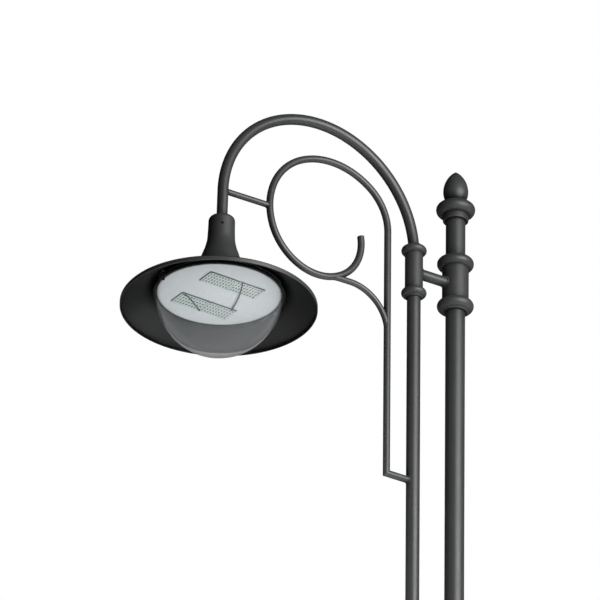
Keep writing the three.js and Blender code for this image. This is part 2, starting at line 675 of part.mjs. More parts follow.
function cableGland() {
  const g = GLAND;
  const nut = prism(polygon(6, g.acrossR), boltHeadTop - g.nut, boltHeadTop);
  const body = prism(polygon(6, g.acrossR), SHADE.topZ + GAP, SHADE.topZ + g.body);
  const dome = rod(g.domeR, boltHeadTop - g.nut - 3, SHADE.topZ + g.dome, 12);
  const bore = rod(g.boreR, boltHeadTop - g.nut - 5, SHADE.topZ + g.dome + 2, 8);
  return nut.add(body).add(dome).subtract(bore);
}

inLuminaire("cable_gland", "blackPlastic", cableGland());

// ---------------------------------------------------------------- luminaire: tray and gear
function gearTray() {
  const t = TRAY;
  const pan = turned([
    [0, t.z], [t.wallR, t.z], [t.wallR, t.flangeZ], [t.flangeR, t.flangeZ],
    [t.flangeR, t.flangeZ + t.thick], [t.wallR - 2, t.flangeZ + t.thick],
    [t.wallR - 2, t.z + 3], [0, t.z + 3],
  ], BOWL_SEGMENTS);
  const tabTop = t.flangeZ + t.thick;
  const catchTab = block(-211, -192, -8, 8, t.flangeZ, tabTop);
  const hingeTab = block(192, 211, -12, 12, t.flangeZ, tabTop);
  const catchHole = moved(rod(3.5, t.flangeZ - 1, tabTop + 1, 12), CATCH.x, 0, 0);
  return pan.add(catchTab).add(hingeTab).subtract(catchHole);
}

// A disc with straight fins on top, clear of the four pillars.
function heatSink() {
  const s = SINK;
  const top = s.z0 + s.base;
  let sink = rod(s.r, s.z0, top, BOWL_SEGMENTS);
  for (const row of FIN_ROWS) {
    const half = Math.sqrt(s.finR ** 2 - row ** 2);
    for (const y of [-row, row]) {
      sink = sink.add(block(-half, half, y - s.fin / 2, y + s.fin / 2, top - 1, s.finTop));
    }
  }
  return sink;
}

inLuminaire("gear_tray", "whitePaint", gearTray());
inLuminaire("heat_sink", "aluminium", heatSink());

const gasketZ = [BOWL.topZ + CLEARANCE, TRAY.flangeZ - GAP];
const gasket = turned(ringProfile(GASKET.innerR, GASKET.outerR, ...gasketZ), BOWL_SEGMENTS);
inLuminaire("bowl_gasket", "rubber", gasket);

// Four boards under the tray, in two rows of two.
[[-1, 0], [1, 0], [1, 1], [-1, 1]].forEach(([side, row], i) => {
  const { length, width, thick, x, rows } = BOARD;
  const top = TRAY.z - GAP;
  const slab = block(-length / 2, length / 2, -width / 2, width / 2, top - thick, top);
  inLuminaire(`led_board_${i + 1}`, "board", moved(slab, side * x, rows[row], 0));
});

// A box centred on the luminaire's axis, standing on the fins.
const gearBase = SINK.finTop + GAP;
function onFins(length, width, height) {
  return block(-length / 2, length / 2, -width / 2, width / 2, gearBase, gearBase + height);
}

const driverBody = onFins(DRIVER.length, DRIVER.width, DRIVER.height);
const driverEars = onFins(DRIVER.earLength, DRIVER.earWidth, DRIVER.ear);
inLuminaire("led_driver", "greyPlastic", driverBody.add(driverEars));

function terminalBlock() {
  const { x, y, height, bores, boreR } = TERMINALS;
  let body = block(...x, ...y, gearBase, gearBase + height);
  for (const boreX of bores) {
    const bore = alongY(rod(boreR, -1, 8, 8));
    body = body.subtract(moved(bore, boreX, y[0], gearBase + height / 2));
  }
  return body;
}

inLuminaire("terminal_block", "blackPlastic", terminalBlock());

const pillarBase = SINK.z0 + SINK.base + GAP;
const pillar = prism(polygon(6, PILLARS.r), pillarBase, boltHeadTop);
[[1, 1], [-1, 1], [-1, -1], [1, -1]].forEach(([sx, sy], i) => {
  inLuminaire(`tray_pillar_${i + 1}`, "steel", moved(pillar, sx * PILLARS.x, sy * PILLARS.y, 0));
});

// ---------------------------------------------------------------- luminaire: bowl and its ring
function bowl() {
  const { r, wall, flangeR, flange, topZ } = BOWL;
  const flangeZ = topZ - flange;
  return turned([
    ...arc(0, TRAY.z, r, -90, 0, 7),
    [r, flangeZ], [flangeR, flangeZ], [flangeR, topZ], [r - wall, topZ],
    ...arc(0, TRAY.z, r - wall, 0, -90, 7),
  ], BOWL_SEGMENTS);
}

const atHinge = (body) => moved(alongY(body), HINGE.x, 0, HINGE.z);
const hingeBore = atHinge(rod(HINGE.pinR + 0.15, -20, 20, 12));

function bowlRing() {
  const r = RING;
  let ring = turned([
    [r.innerR, r.z0], [r.outerR, r.z0], [r.outerR, r.z1], [BOWL.flangeR + 0.5, r.z1],
    [BOWL.flangeR + 0.5, r.ledgeZ], [r.innerR, r.ledgeZ],
  ], BOWL_SEGMENTS);
  for (const side of [-1, 1]) {
    const [y0, y1] = [side * HINGE.innerY, side * HINGE.halfLength].sort((a, b) => a - b);
    const knuckle = atHinge(rod(HINGE.knuckleR, y0, y1, 12));
    const leaf = block(r.outerR - 1.5, HINGE.x, y0, y1, HINGE.z - HINGE.knuckleR, HINGE.z);
    ring = ring.add(knuckle).add(leaf);
  }
  const lug = block(LUG.x0, LUG.x1, -LUG.halfWidth, LUG.halfWidth, LUG.z0, LUG.z1);
  const lugHole = moved(rod(LUG.holeR, LUG.z0 - 1, LUG.z1 + 1, 12), CATCH.x, 0, 0);
  return ring.subtract(hingeBore).add(lug).subtract(lugHole);
}

function bowlHingeBracket() {
  const { halfWidth, x0, x1 } = HINGE_BRACKET;
  const knuckle = atHinge(rod(HINGE.knuckleR, -halfWidth, halfWidth, 12));
  const post = block(x0, x1, -halfWidth, halfWidth, HINGE.z, TRAY.flangeZ - GAP);
  return knuckle.add(post).subtract(hingeBore);
}

function bowlCatch() {
  const { x, stemR, z0, z1, knobR, gripLength, gripWidth } = CATCH;
  const stem = rod(stemR, z0, z1, 12);
  const knob = rod(knobR, RING.z0 - 7, RING.z0 - GAP, 16);
  const [halfLength, halfWidth] = [gripLength / 2, gripWidth / 2];
  const grip = block(-halfLength, halfLength, -halfWidth, halfWidth, RING.z0 - 13, RING.z0 - 6);
  return moved(stem.add(knob).add(grip), x, 0, 0);
}

inLuminaire("bowl", "clear", bowl());
inLuminaire("bowl_ring", "shadePaint", bowlRing());
inLuminaire("bowl_hinge_bracket", "steel", bowlHingeBracket());
const hingePin = atHinge(rod(HINGE.pinR, -HINGE.halfLength - 1, HINGE.halfLength + 1, 12));
inLuminaire("bowl_hinge_pin", "steel", hingePin);
inLuminaire("bowl_catch", "blackPlastic", bowlCatch());

export default lampPost;
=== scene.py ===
"""Looks for the street lamp post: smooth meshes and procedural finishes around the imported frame.

Shapes are written in millimetres and turned into metres as each piece is added. The column's
axis is X = Y = 0, the arm reaches towards -X, and the access door faces -Y. The luminaire has a
frame of its own, LUMINAIRE, with z = 0 in the plane of the shade's rim.
"""

import math

import bmesh
import bpy
from mathutils import Matrix, Vector


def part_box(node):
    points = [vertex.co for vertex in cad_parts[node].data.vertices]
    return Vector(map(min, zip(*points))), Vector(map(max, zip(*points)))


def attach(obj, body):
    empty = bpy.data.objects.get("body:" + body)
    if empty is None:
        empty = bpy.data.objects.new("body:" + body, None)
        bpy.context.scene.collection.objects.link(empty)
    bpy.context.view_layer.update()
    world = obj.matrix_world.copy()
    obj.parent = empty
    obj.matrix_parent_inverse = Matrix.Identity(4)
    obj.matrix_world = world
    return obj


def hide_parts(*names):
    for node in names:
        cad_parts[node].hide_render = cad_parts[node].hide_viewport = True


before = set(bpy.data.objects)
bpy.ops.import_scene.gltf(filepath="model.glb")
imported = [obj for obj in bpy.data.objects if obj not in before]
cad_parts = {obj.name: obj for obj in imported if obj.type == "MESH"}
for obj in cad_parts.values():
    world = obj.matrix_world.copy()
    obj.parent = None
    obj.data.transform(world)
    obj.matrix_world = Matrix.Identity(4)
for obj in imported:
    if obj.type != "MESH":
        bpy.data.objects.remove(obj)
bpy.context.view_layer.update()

# ---------------- sizes, in millimetres
MM = 0.001
TIP_Z = 4000
SHAFT_R, SHAFT_WALL = 57.15, 4
POST_R, POST_WALL = 30.15, 3.6
SECOND_R, SECOND_WALL = 21.2, 3.2
ARM_R, ARM_WALL = 16.85, 2.6
SCROLL_R, SCROLL_WALL = 11, 2.5
STRUT_R = 9.5
BRIDGE_R = 16.85
FIT = 0.4  # between a tube and its socket
TOUCH = 0.05  # between a bar and what it is welded to
BRIDGE_WELD, FOOT_WELD, STRUT_WELD = (0.6, 2.4), (0.4, 1.8), (0.3, 1.6)  # off the bar, radius
PLATE_HALF, PLATE_THICK, PLATE_CORNER = 210, 16, 28
HOLE_PITCH, HOLE_R = 150, 12
CABLE_HOLE_Y, CABLE_HOLE_R = 31, 18
SHAFT_BOTTOM, SHAFT_TOP = 16.3, 1150
POST_BOTTOM = 1100
CAP_RING_Z = 3866.5
FINIAL_SEAT_Z = 3887.4
FINIAL_R, FINIAL_RISE = 38.5, 71.5
SECOND_X = -152
COLLAR_PITCH = 146.5
COLLAR_Z = {"upper": 3605, "lower": 1450}
MAIN_COLLAR = {"sleeve": 41, "bead": 56.5, "minor": 18, "lip": 4}
SMALL_COLLAR = {"sleeve": 27.8, "bead": 39, "minor": 13, "lip": 5}
ARM_RADIUS, ARM_SPRING_Z = 348.2, 3665.3
LEAN = 1.5
RIM_Z = 3266.1
RISER_X, RISER_BOTTOM_Z = -248.4, 2883.1
HOOP_START_Z = 3714.6
HOOP_BENDS = [  # radius and turn
    (166.6, 53.8), (236.4, 60), (212.3, 84.6), (182, 46.7), (163.5, 57.6), (150, 67.4),
]
BRANCH_EASE, BRANCH_RADIUS = 168, 135.5
BRANCH_HEADING = 13.47  # of the hoop where the branch leaves it, in degrees above level
STRUT_Z = 3675.4
NECK_TOP, NECK_R, NECK_FOOT_R = 315, 40.5, 63
ARM_INSERT = 110
SHADE_R, SHADE_LIP, SHADE_TOP_Z, SHADE_TOP_R, SHADE_THICK = 300, 14, 149, 68, 2.5
SHADE_WAIST = (125, 108)
TRAY_Z, TRAY_FLANGE_Z = 47, 55.5
BOWL_R, BOWL_WALL, BOWL_TOP = 193, 3, 52
HINGE_X, HINGE_Z, CATCH_X = 209, 51.5, -206
DOOR_Z = (380, 670)
DOOR_HALF_ANGLE, DOOR_GAP_ANGLE, DOOR_GAP_Z = 44, 1.6, 2
DOOR_HINGE_ANGLE, DOOR_HINGE_R, KNUCKLE_R = 52, 63, 5.4
DOOR_KNUCKLES, KNUCKLE_LENGTH = (420, 590), 40
LOCK_ANGLE, LOCK_Z = -30, 525
BOARD_LENGTH, BOARD_WIDTH = 96, 64
BOARD_X, BOARD_ROWS = 49, (-73, 85)
EMITTER_PITCH_X, EMITTER_PITCH_Y = 10.2, 15

ROUND = 128  # segments around a large turned piece
TUBE_SIDES = 48


# ---------------- shapes
class Shape:
    """Points in millimetres and the faces between them, with a finish number for each face."""

    def __init__(self, points=(), faces=(), finish=0):
        self.points = [Vector(p) for p in points]
        self.faces = [tuple(f) for f in faces]
        self.finish = [finish] * len(self.faces)

    def join(self, other, place=None):
        start = len(self.points)
        place = place or Matrix()
        self.points += [place @ p for p in other.points]
        self.faces += [tuple(i + start for i in f) for f in other.faces]
        self.finish += other.finish
        return self

    def at(self, place):
        return Shape().join(self, place)

    def paint(self, finish):
        self.finish = [finish] * len(self.faces)
        return self


X_AXIS, Y_AXIS, Z_AXIS = Vector((1, 0, 0)), Vector((0, 1, 0)), Vector((0, 0, 1))


def shift(x=0.0, y=0.0, z=0.0):
    return Matrix.Translation((x, y, z))


def turn(degrees, axis):
    return Matrix.Rotation(math.radians(degrees), 4, axis)


def spread(start, end, steps):
    return [start + (end - start) * i / steps for i in range(steps + 1)]


def arc(r, z, radius, start, end, steps):
    """Points of an arc in a profile, from one angle to another, in degrees."""
    angles = [math.radians(a) for a in spread(start, end, steps)]
    return [(r + radius * math.cos(a), z + radius * math.sin(a)) for a in angles]


def soften(profile, radius, closed):
    """The profile with each corner of at least 18 degrees rounded."""
    made = []
    last = len(profile) - 1
    for i, corner in enumerate(profile):
        here = Vector(corner)
        before = Vector(profile[i - 1]) - here
        after = Vector(profile[(i + 1) % len(profile)]) - here
        on_end = not closed and i in (0, last)
        if on_end or min(before.length, after.length) < 0.2:
            made.append(tuple(here))
            continue
        bend = math.degrees((-before).angle(after))
        if bend < 18:
            made.append(tuple(here))
            continue
        cut = min(radius, 0.45 * before.length, 0.45 * after.length)
        a, b = here + before.normalized() * cut, here + after.normalized() * cut
        for t in (0, 1 / 3, 2 / 3, 1):
            made.append(tuple(a * (1 - t) ** 2 + here * 2 * t * (1 - t) + b * t * t))
    return made


def lathe(profile, segments=ROUND, round_off=0.8):
    """A solid of revolution about Z. The profile is [r, z] pairs, either a closed loop or a line
    that starts and ends on the axis."""
    closed = min(profile[0][0], profile[-1][0]) > 1e-6
    line = soften(profile, round_off, closed)
    shape = Shape()
    rings = []
    for r, z in line:
        if r < 1e-6:
            rings.append([len(shape.points)] * segments)
            shape.points.append(Vector((0, 0, z)))
            continue
        rings.append(list(range(len(shape.points), len(shape.points) + segments)))
        for i in range(segments):
            a = 2 * math.pi * i / segments
            shape.points.append(Vector((r * math.cos(a), r * math.sin(a), z)))
    pairs = list(zip(rings, rings[1:]))
    if closed:
        pairs.append((rings[-1], rings[0]))
    for low, high in pairs:
        for i in range(segments):
            j = (i + 1) % segments
            face = dict.fromkeys((low[i], low[j], high[j], high[i]))
            if len(face) > 2:
                shape.faces.append(tuple(face))
    return shape.paint(0)


def rod(r, z0, z1, segments=32, round_off=0.4):
    return lathe([(0, z0), (r, z0), (r, z1), (0, z1)], segments, round_off)


def ring(inner, outer, z0, z1, segments=ROUND, round_off=0.5):
    return lathe([(inner, z0), (outer, z0), (outer, z1), (inner, z1)], segments, round_off)


def from_bmesh(bm):
    bm.verts.ensure_lookup_table()
    bm.verts.index_update()
    shape = Shape([v.co for v in bm.verts], [[v.index for v in f.verts] for f in bm.faces])
    bm.free()
    return shape


def bevel(bm, width, angle=35):
    """Rounds the edges of a bmesh where its faces meet at more than an angle."""
    limit = math.radians(angle)
    edges = [e for e in bm.edges if e.is_manifold and e.calc_face_angle(0) > limit]
    settings = {"segments": 2, "profile": 0.5, "affect": "EDGES", "clamp_overlap": True}
    bmesh.ops.bevel(bm, geom=edges, offset=width, **settings)


def join_flat_faces(bm, angle):
    settings = {"verts": bm.verts[:], "edges": bm.edges[:]}
    bmesh.ops.dissolve_limit(bm, angle_limit=math.radians(angle), **settings)


def slab(x, y, z, width=0.5):
    """A box between pairs of limits, with rounded edges."""
    bm = bmesh.new()
    bmesh.ops.create_cube(bm, size=1)
    for v in bm.verts:
        v.co = Vector([lo + (c + 0.5) * (hi - lo) for c, (lo, hi) in zip(v.co, (x, y, z))])
    bevel(bm, width)
    return from_bmesh(bm)


def prism(outline, z0, z1, width=0.4, holes=()):
    """An outline of [x, y] points extruded along Z, with rounded edges."""
    bm = bmesh.new()
    edges = []
    for loop in (outline, *holes):
        verts = [bm.verts.new((x, y, z0)) for x, y in loop]
        edges += [bm.edges.new((a, b)) for a, b in zip(verts, verts[1:] + verts[:1])]
    if holes:
        bmesh.ops.triangle_fill(bm, edges=edges, use_beauty=True)
    else:
        bm.faces.new(bm.verts)
    made = bmesh.ops.extrude_face_region(bm, geom=bm.faces[:])
    for v in (g for g in made["geom"] if isinstance(g, bmesh.types.BMVert)):
        v.co.z = z1
    bmesh.ops.recalc_face_normals(bm, faces=bm.faces[:])
    join_flat_faces(bm, 0.5)
    bevel(bm, width, angle=50)
    return from_bmesh(bm)


def circle(r, steps, x=0.0, y=0.0):
    angles = [2 * math.pi * i / steps for i in range(steps)]
    return [(x + r * math.cos(a), y + r * math.sin(a)) for a in angles]


def panel(inner, outer, angles, heights, gaps=(), whole=False):
    """A wall about Z from a grid of angles (degrees, from -Y towards +X) and heights. gaps are
    the cells left open, and whole joins the last angle to the first."""
    shape = Shape()
    columns, rows = len(angles), len(heights)
    for r in (outer, inner):
        for a in angles:
            direction = math.radians(a - 90)
            for z in heights:
                shape.points.append(Vector((r * math.cos(direction), r * math.sin(direction), z)))

    def at(layer, i, j):
        return layer * columns * rows + (i % columns) * rows + j

    spans = columns if whole else columns - 1

    def solid(i, j):
        if whole:
            i %= columns
        return 0 <= i < spans and 0 <= j < rows - 1 and (i, j) not in gaps

    for i in range(spans):
        for j in range(rows - 1):
            if not solid(i, j):
                continue
            corners = [(i, j), (i + 1, j), (i + 1, j + 1), (i, j + 1)]
            shape.faces.append(tuple(at(0, *c) for c in corners))
            shape.faces.append(tuple(at(1, *c) for c in reversed(corners)))
            beyond = [(i, j - 1), (i + 1, j), (i, j + 1), (i - 1, j)]
            for k, cell in enumerate(beyond):
                if not solid(*cell):
                    a, b = corners[k], corners[(k + 1) % 4]
                    shape.faces.append((at(0, *a), at(1, *a), at(1, *b), at(0, *b)))
    return shape.paint(0)


# ---------------- tubes
def bends(x, z, heading, moves, spacing=9.0):
    """Stations (x, z, heading) along straight runs ("run", length) and bends (radius, turn) in
    the XZ plane. A positive turn bends to the left."""
    stations = [(x, z, heading)]
    for kind, value in moves:
        if kind == "run":
            steps = 2
            length, swing = value / steps, 0.0
        else:
            steps = max(4, math.ceil(kind * math.radians(abs(value)) / spacing))
            swing = value / steps
            length = 2 * kind * math.sin(math.radians(abs(swing)) / 2)
        for _ in range(steps):
            direction = math.radians(heading + swing / 2)
            x += length * math.cos(direction)
            z += length * math.sin(direction)
            heading += swing
            stations.append((x, z, heading))
    return stations


def tube(stations, r, bore=None, sides=TUBE_SIDES, start=None, end=None, lip=0.6):
    """A tube along stations. start and end, if given, move each point of an end along the tube:
    they take the point and the direction, and return a distance."""
    line = [(Vector((x, 0, z)), math.radians(a)) for x, z, a in stations]
    rows = []  # (centre, angle, radius)
    for k, (centre, angle) in enumerate(line):
        along = Vector((math.cos(angle), 0, math.sin(angle)))
        if k == 0 and start is None:
            rows += [(centre, angle, r - lip), (centre + along * lip, angle, r)]
        elif k == len(line) - 1 and end is None:
            rows += [(centre - along * lip, angle, r), (centre, angle, r - lip)]
        else:
            rows.append((centre, angle, r))
    if bore:
        rows += [(centre, angle, bore) for centre, angle in reversed(line)]
    shape = Shape()
    for k, (centre, angle, radius) in enumerate(rows):
        along = Vector((math.cos(angle), 0, math.sin(angle)))
        across = Vector((-math.sin(angle), 0, math.cos(angle)))
        first = k == 0 or (bore and k == len(rows) - 1)
        outer = len(rows) - (len(line) if bore else 0)
        last = k == outer - 1 or (bore and k == outer)
        for i in range(sides):
            phi = 2 * math.pi * i / sides
            point = centre + radius * (math.cos(phi) * across + math.sin(phi) * Y_AXIS)
            if first and start:
                point += along * start(point, along)
            if last and end:
                point += along * end(point, along)
            shape.points.append(point)
    count = len(rows)
    for k in range(count if bore else count - 1):
        a, b = k * sides, ((k + 1) % count) * sides
        for i in range(sides):
            j = (i + 1) % sides
            shape.faces.append((a + i, a + j, b + j, b + i))
    if not bore:
        shape.faces.append(tuple(reversed(range(sides))))
        shape.faces.append(tuple(range((count - 1) * sides, count * sides)))
    return shape.paint(0)


def until(axis_point, axis, radius):
    """An end cut for tube(): how far along its direction a point meets a round bar, on the
    side that it comes from."""
    axis = axis.normalized()

    def distance(point, along):
        a = along - axis * along.dot(axis)
        gap = point - axis_point
        b = gap - axis * gap.dot(axis)
        half = a.dot(b)
        under = half * half - a.dot(a) * (b.dot(b) - radius * radius)
        root = math.sqrt(max(under, 0))
        choices = [(-half - root) / a.dot(a), (-half + root) / a.dot(a)]
        return min(choices, key=abs)

    return distance


def flex(points, r, sides=10, ripple=0.0, waves=0, closed=False):
    """A thin round strand along points, for wires and for weld beads, whose width ripples."""
    count = len(points)
    shape = Shape()
    side = None
    for k, point in enumerate(points):
        if closed:
            ahead, back = points[(k + 1) % count], points[k - 1]
        else:
            ahead, back = points[min(k + 1, count - 1)], points[max(k - 1, 0)]
        along = (ahead - back).normalized()
        side = along.orthogonal() if side is None else side - along * side.dot(along)
        side.normalize()
        other = along.cross(side)
        radius = r * (1 + ripple * math.sin(2 * math.pi * waves * k / count))
        for i in range(sides):
            phi = 2 * math.pi * i / sides
            shape.points.append(point + radius * (math.cos(phi) * side + math.sin(phi) * other))
    for k in range(count if closed else count - 1):
        a, b = k * sides, ((k + 1) % count) * sides
        twist = 0
        if closed and k == count - 1:  # the frame may come round turned, so match the nearest
            twist = min(
                range(sides), key=lambda s: (shape.points[a] - shape.points[b + s]).length
            )
        for i in range(sides):
            j = (i + 1) % sides
            shape.faces.append(
                (a + i, a + j, b + (j + twist) % sides, b + (i + twist) % sides)
            )
    if not closed:
        shape.faces.append(tuple(reversed(range(sides))))
        shape.faces.append(tuple(range((count - 1) * sides, count * sides)))
    return shape.paint(0)


def weld_ring(centre, r, cut, weld):
    """A rippled weld bead where a bar of radius r along X meets what cut() describes."""
    off, bead = weld
    points = []
    for i in range(96):
        phi = 2 * math.pi * i / 96
        wall = centre + (r + off) * (math.cos(phi) * Z_AXIS + math.sin(phi) * Y_AXIS)
        points.append(wall + X_AXIS * cut(wall, X_AXIS))
    return flex(points, bead, sides=8, ripple=0.12, waves=24, closed=True)


# ---------------- finishes
class Nodes:
    """A node tree, with short calls for what is built in it."""

    def __init__(self, tree):
        self.tree = tree

    def put(self, value, socket):
        """Sets a socket, or links another to it."""
        if isinstance(value, bpy.types.NodeSocket):
            self.tree.links.new(value, socket)
        else:
            socket.default_value = value

    def node(self, kind, **values):
        """A node, its settings (lower case) and its inputs (capitals, with _ for a space)."""
        made = self.tree.nodes.new(kind)
        for key, value in values.items():
            if key[0].isupper():
                self.put(value, made.inputs[key.replace("_", " ")])
            else:
                setattr(made, key, value)
        return made

    def math(self, operation, a, b):
        made = self.node("ShaderNodeMath", operation=operation)
        self.put(a, made.inputs[0])
        self.put(b, made.inputs[1])
        return made.outputs["Value"]

    def show(self, factor, a, b, output):
        """Sends two shaders, mixed by a factor, to the tree's output."""
        mix = self.node("ShaderNodeMixShader", Fac=factor)
        self.put(a, mix.inputs[1])
        self.put(b, mix.inputs[2])
        self.put(mix.outputs["Shader"], self.tree.nodes[output].inputs["Surface"])


class Finish(Nodes):
    """A material, with short calls for what the finishes below share."""

    def __init__(self, name):
        self.material = bpy.data.materials.new(name)
        self.material.use_nodes = True
        super().__init__(self.material.node_tree)
        self.shader = self.tree.nodes["Principled BSDF"]
        self.coords = self.node("ShaderNodeTexCoord").outputs["Object"]

    def noise(self, scale, detail=3.0, stretch=(1, 1, 1)):
        """Noise with features of about 1 / scale metres."""
        place = self.node("ShaderNodeMapping", Vector=self.coords, Scale=stretch).outputs[0]
        made = self.node("ShaderNodeTexNoise", Vector=place, Scale=scale, Detail=detail)
        return made.outputs["Fac"]

    def remap(self, value, low, high, to_low, to_high):
        ends = {"From_Min": low, "From_Max": high, "To_Min": to_low, "To_Max": to_high}
        return self.node("ShaderNodeMapRange", Value=value, **ends).outputs["Result"]

    def blend(self, factor, a, b):
        made = self.node("ShaderNodeMix", data_type="RGBA", Factor=factor)
        for key, value in (("A", a), ("B", b)):
            socket = next(s for s in made.inputs if s.name == key and s.type == "RGBA")
            self.put((*value, 1) if isinstance(value, tuple) else value, socket)
        return next(s for s in made.outputs if s.type == "RGBA")

    def bump(self, height, depth, strength):
        made = self.node("ShaderNodeBump", Strength=strength, Distance=depth, Height=height)
        return made.outputs["Normal"]

    def facing_up(self):
        normal = self.node("ShaderNodeNewGeometry").outputs["Normal"]
        split = self.node("ShaderNodeSeparateXYZ", Vector=normal)
        return self.remap(split.outputs["Z"], 0.35, 1, 0, 1)

    def openness_for_painted_shade(self, reach):
        """0 in a tight corner, 1 on an open face, by ambient occlusion: painted shade, which
        darkens corners and creases and dulls their highlights.
        """
        made = self.node("ShaderNodeAmbientOcclusion", samples=6, Distance=reach)
        return self.remap(made.outputs["AO"], 0.5, 0.98, 0, 1)

    def edges(self):
        pointiness = self.node("ShaderNodeNewGeometry").outputs["Pointiness"]
        return self.remap(pointiness, 0.52, 0.62, 0, 1)

    def set(self, **values):
        for key, value in values.items():
            self.put(value, self.shader.inputs[key.replace("_", " ")])
        return self.material


def scaled(colour, k):
    return tuple(min(1.0, c * k) for c in colour)


DUST, RUBBED = (0.26, 0.255, 0.245), (0.14, 0.143, 0.146)
# how far the painted shade in corners and creases reaches
CORNER_SHADE_REACH = 0.035  # metres


def weathered_with_painted_shade(f, colour, body, dust, dust_scale, wear, wear_scale, reach):
    """Adds to a painted body what faces up and gathers dust, rubbed edges, and painted shade that
    darkens corners and creases.
    Gives the colour, how much dust can settle, and how open each place is to that painted shade."""
    patches = f.remap(f.noise(dust_scale, 5), 0.3, 0.7, 0.3, 1)
    settled = f.math("MULTIPLY", f.facing_up(), patches)
    dusty = f.blend(f.math("MULTIPLY", settled, dust), body, DUST)
    worn = f.remap(f.noise(wear_scale, 4), 0.45, 0.65, 0, wear)
    rubbed = f.blend(f.math("MULTIPLY", f.edges(), worn), dusty, RUBBED)
    # painted shade: ambient occlusion blends corners and creases towards 0.12 of the colour
    unshaded = f.openness_for_painted_shade(reach)
    return f.blend(unshaded, scaled(colour, 0.12), rubbed), settled, unshaded


def coating(
    name, colour, roughness=0.39, peel=0.00012, dust=0.1, gloss=0.78, reach=CORNER_SHADE_REACH
):
    """Powder coat on metal: a fine peel in the surface, faint clouding, streaks that rain has
    left, dust on what faces up, slightly rubbed edges, and painted shade in corners that also dulls
    their highlights."""
    f = Finish(name)
    streaks = f.remap(f.noise(60, 2, (1, 1, 0.03)), 0.35, 0.7, 0, 0.4)
    tone = f.math("ADD", f.remap(f.noise(5, 4), 0.3, 0.7, 0, 0.6), streaks)
    body = f.blend(tone, scaled(colour, 0.92), scaled(colour, 1.1))
    shown, settled, unshaded = weathered_with_painted_shade(f, colour, body, dust, 30, 0.2, 90, reach)
    rough = f.remap(f.noise(14, 4), 0.3, 0.7, roughness - 0.04, roughness + 0.06)
    return f.set(
        Base_Color=shown,
        Roughness=f.math("ADD", rough, f.math("MULTIPLY", settled, 0.12)),
        Normal=f.bump(f.noise(700, 2), peel, 0.6),
        # painted shade: highlights dulled in corners and creases
        Specular_IOR_Level=f.remap(unshaded, 0, 1, 0.1 * gloss, gloss),
    )


def cast_coating(name, colour, roughness=0.46, grain=260.0, depth=0.0003, gloss=0.7):
    """Paint on a casting: the same colour over a coarser, sand-cast skin."""
    f = Finish(name)
    clouds = f.remap(f.noise(9, 4), 0.3, 0.7, 0, 1)
    body = f.blend(clouds, scaled(colour, 0.88), scaled(colour, 1.12))
    shown, _, unshaded = weathered_with_painted_shade(f, colour, body, 0.12, 40, 0.3, 120, CORNER_SHADE_REACH)
    skin = f.math("ADD", f.noise(grain, 4), f.math("MULTIPLY", f.noise(45, 3), 0.8))
    return f.set(
        Base_Color=shown,
        Roughness=f.remap(f.noise(22, 4), 0.3, 0.7, roughness - 0.05, roughness + 0.08),
        Normal=f.bump(skin, depth, 0.5),
        # painted shade: highlights dulled in corners and creases
        Specular_IOR_Level=f.remap(unshaded, 0, 1, 0.1 * gloss, gloss),
    )


def metal(name, colour, roughness, stretch=(1, 1, 1)):
    """Bare or plated metal with drawn or ground marks and a little tarnish."""
    f = Finish(name)
    tarnish = f.remap(f.noise(70, 5), 0.4, 0.75, 0, 0.3)
    return f.set(
        Base_Color=f.blend(tarnish, colour, scaled(colour, 0.45)),
        Metallic=1.0,
        Roughness=f.remap(f.noise(50, 4), 0.3, 0.7, roughness - 0.06, roughness + 0.1),
        Normal=f.bump(f.noise(900, 3, stretch), 0.00003, 0.7),
    )


def moulded(name, colour, roughness, grain=1500.0, depth=0.00005, specular=0.5):
    """Moulded plastic or rubber with a fine texture."""
    f = Finish(name)
    tone = f.remap(f.noise(25, 3), 0.3, 0.7, 0, 1)
    return f.set(
        Base_Color=f.blend(tone, scaled(colour, 0.9), scaled(colour, 1.1)),
        Roughness=f.remap(f.noise(60, 3), 0.3, 0.7, roughness - 0.05, roughness + 0.05),
        Normal=f.bump(f.noise(grain, 2), depth, 0.6),
        Specular_IOR_Level=specular,
    )


def glass(name):
    """A clear bowl that lets the lamps' light through to what is inside, with faint smears, and
    with the thin haze of one that has stood outdoors."""
    f = Finish(name)
    smears = f.remap(f.noise(9, 5, (1, 1, 0.35)), 0.45, 0.75, 0.0, 0.05)
    f.set(
        Base_Color=(0.9, 0.91, 0.92, 1),
        Roughness=smears,
        IOR=1.17,
        Transmission_Weight=0.965,
        Normal=f.bump(f.noise(11, 1), 0.0006, 0.35),
    )
    clear = f.node("ShaderNodeBsdfTransparent", Color=(0.9, 0.92, 0.92, 1)).outputs["BSDF"]
    in_shadow = f.node("ShaderNodeLightPath").outputs["Is Shadow Ray"]
    f.show(in_shadow, f.shader.outputs["BSDF"], clear, "Material Output")
    return f.material


def solder_mask(name):
    """The face of a lamp board: a pale mask with wide copper areas faintly proud under it."""
    f = Finish(name)
    bricks = f.node(
        "ShaderNodeTexBrick", offset=0.0, squash=1.0, Vector=f.coords, Scale=1.0,
        Brick_Width=EMITTER_PITCH_X * MM, Row_Height=EMITTER_PITCH_Y * MM,
        Mortar_Size=0.0006, Mortar_Smooth=0.2,
    )
    tracks = bricks.outputs["Fac"]
    speckle = f.remap(f.noise(180, 3), 0.4, 0.7, 0, 0.35)
    mask = f.blend(speckle, (0.66, 0.72, 0.69), (0.56, 0.64, 0.61))
    return f.set(
        Base_Color=f.blend(tracks, mask, (0.44, 0.53, 0.5)),
        Roughness=f.remap(f.noise(300, 2), 0.3, 0.7, 0.3, 0.42),
        Normal=f.bump(tracks, 0.00008, 0.8),
    )


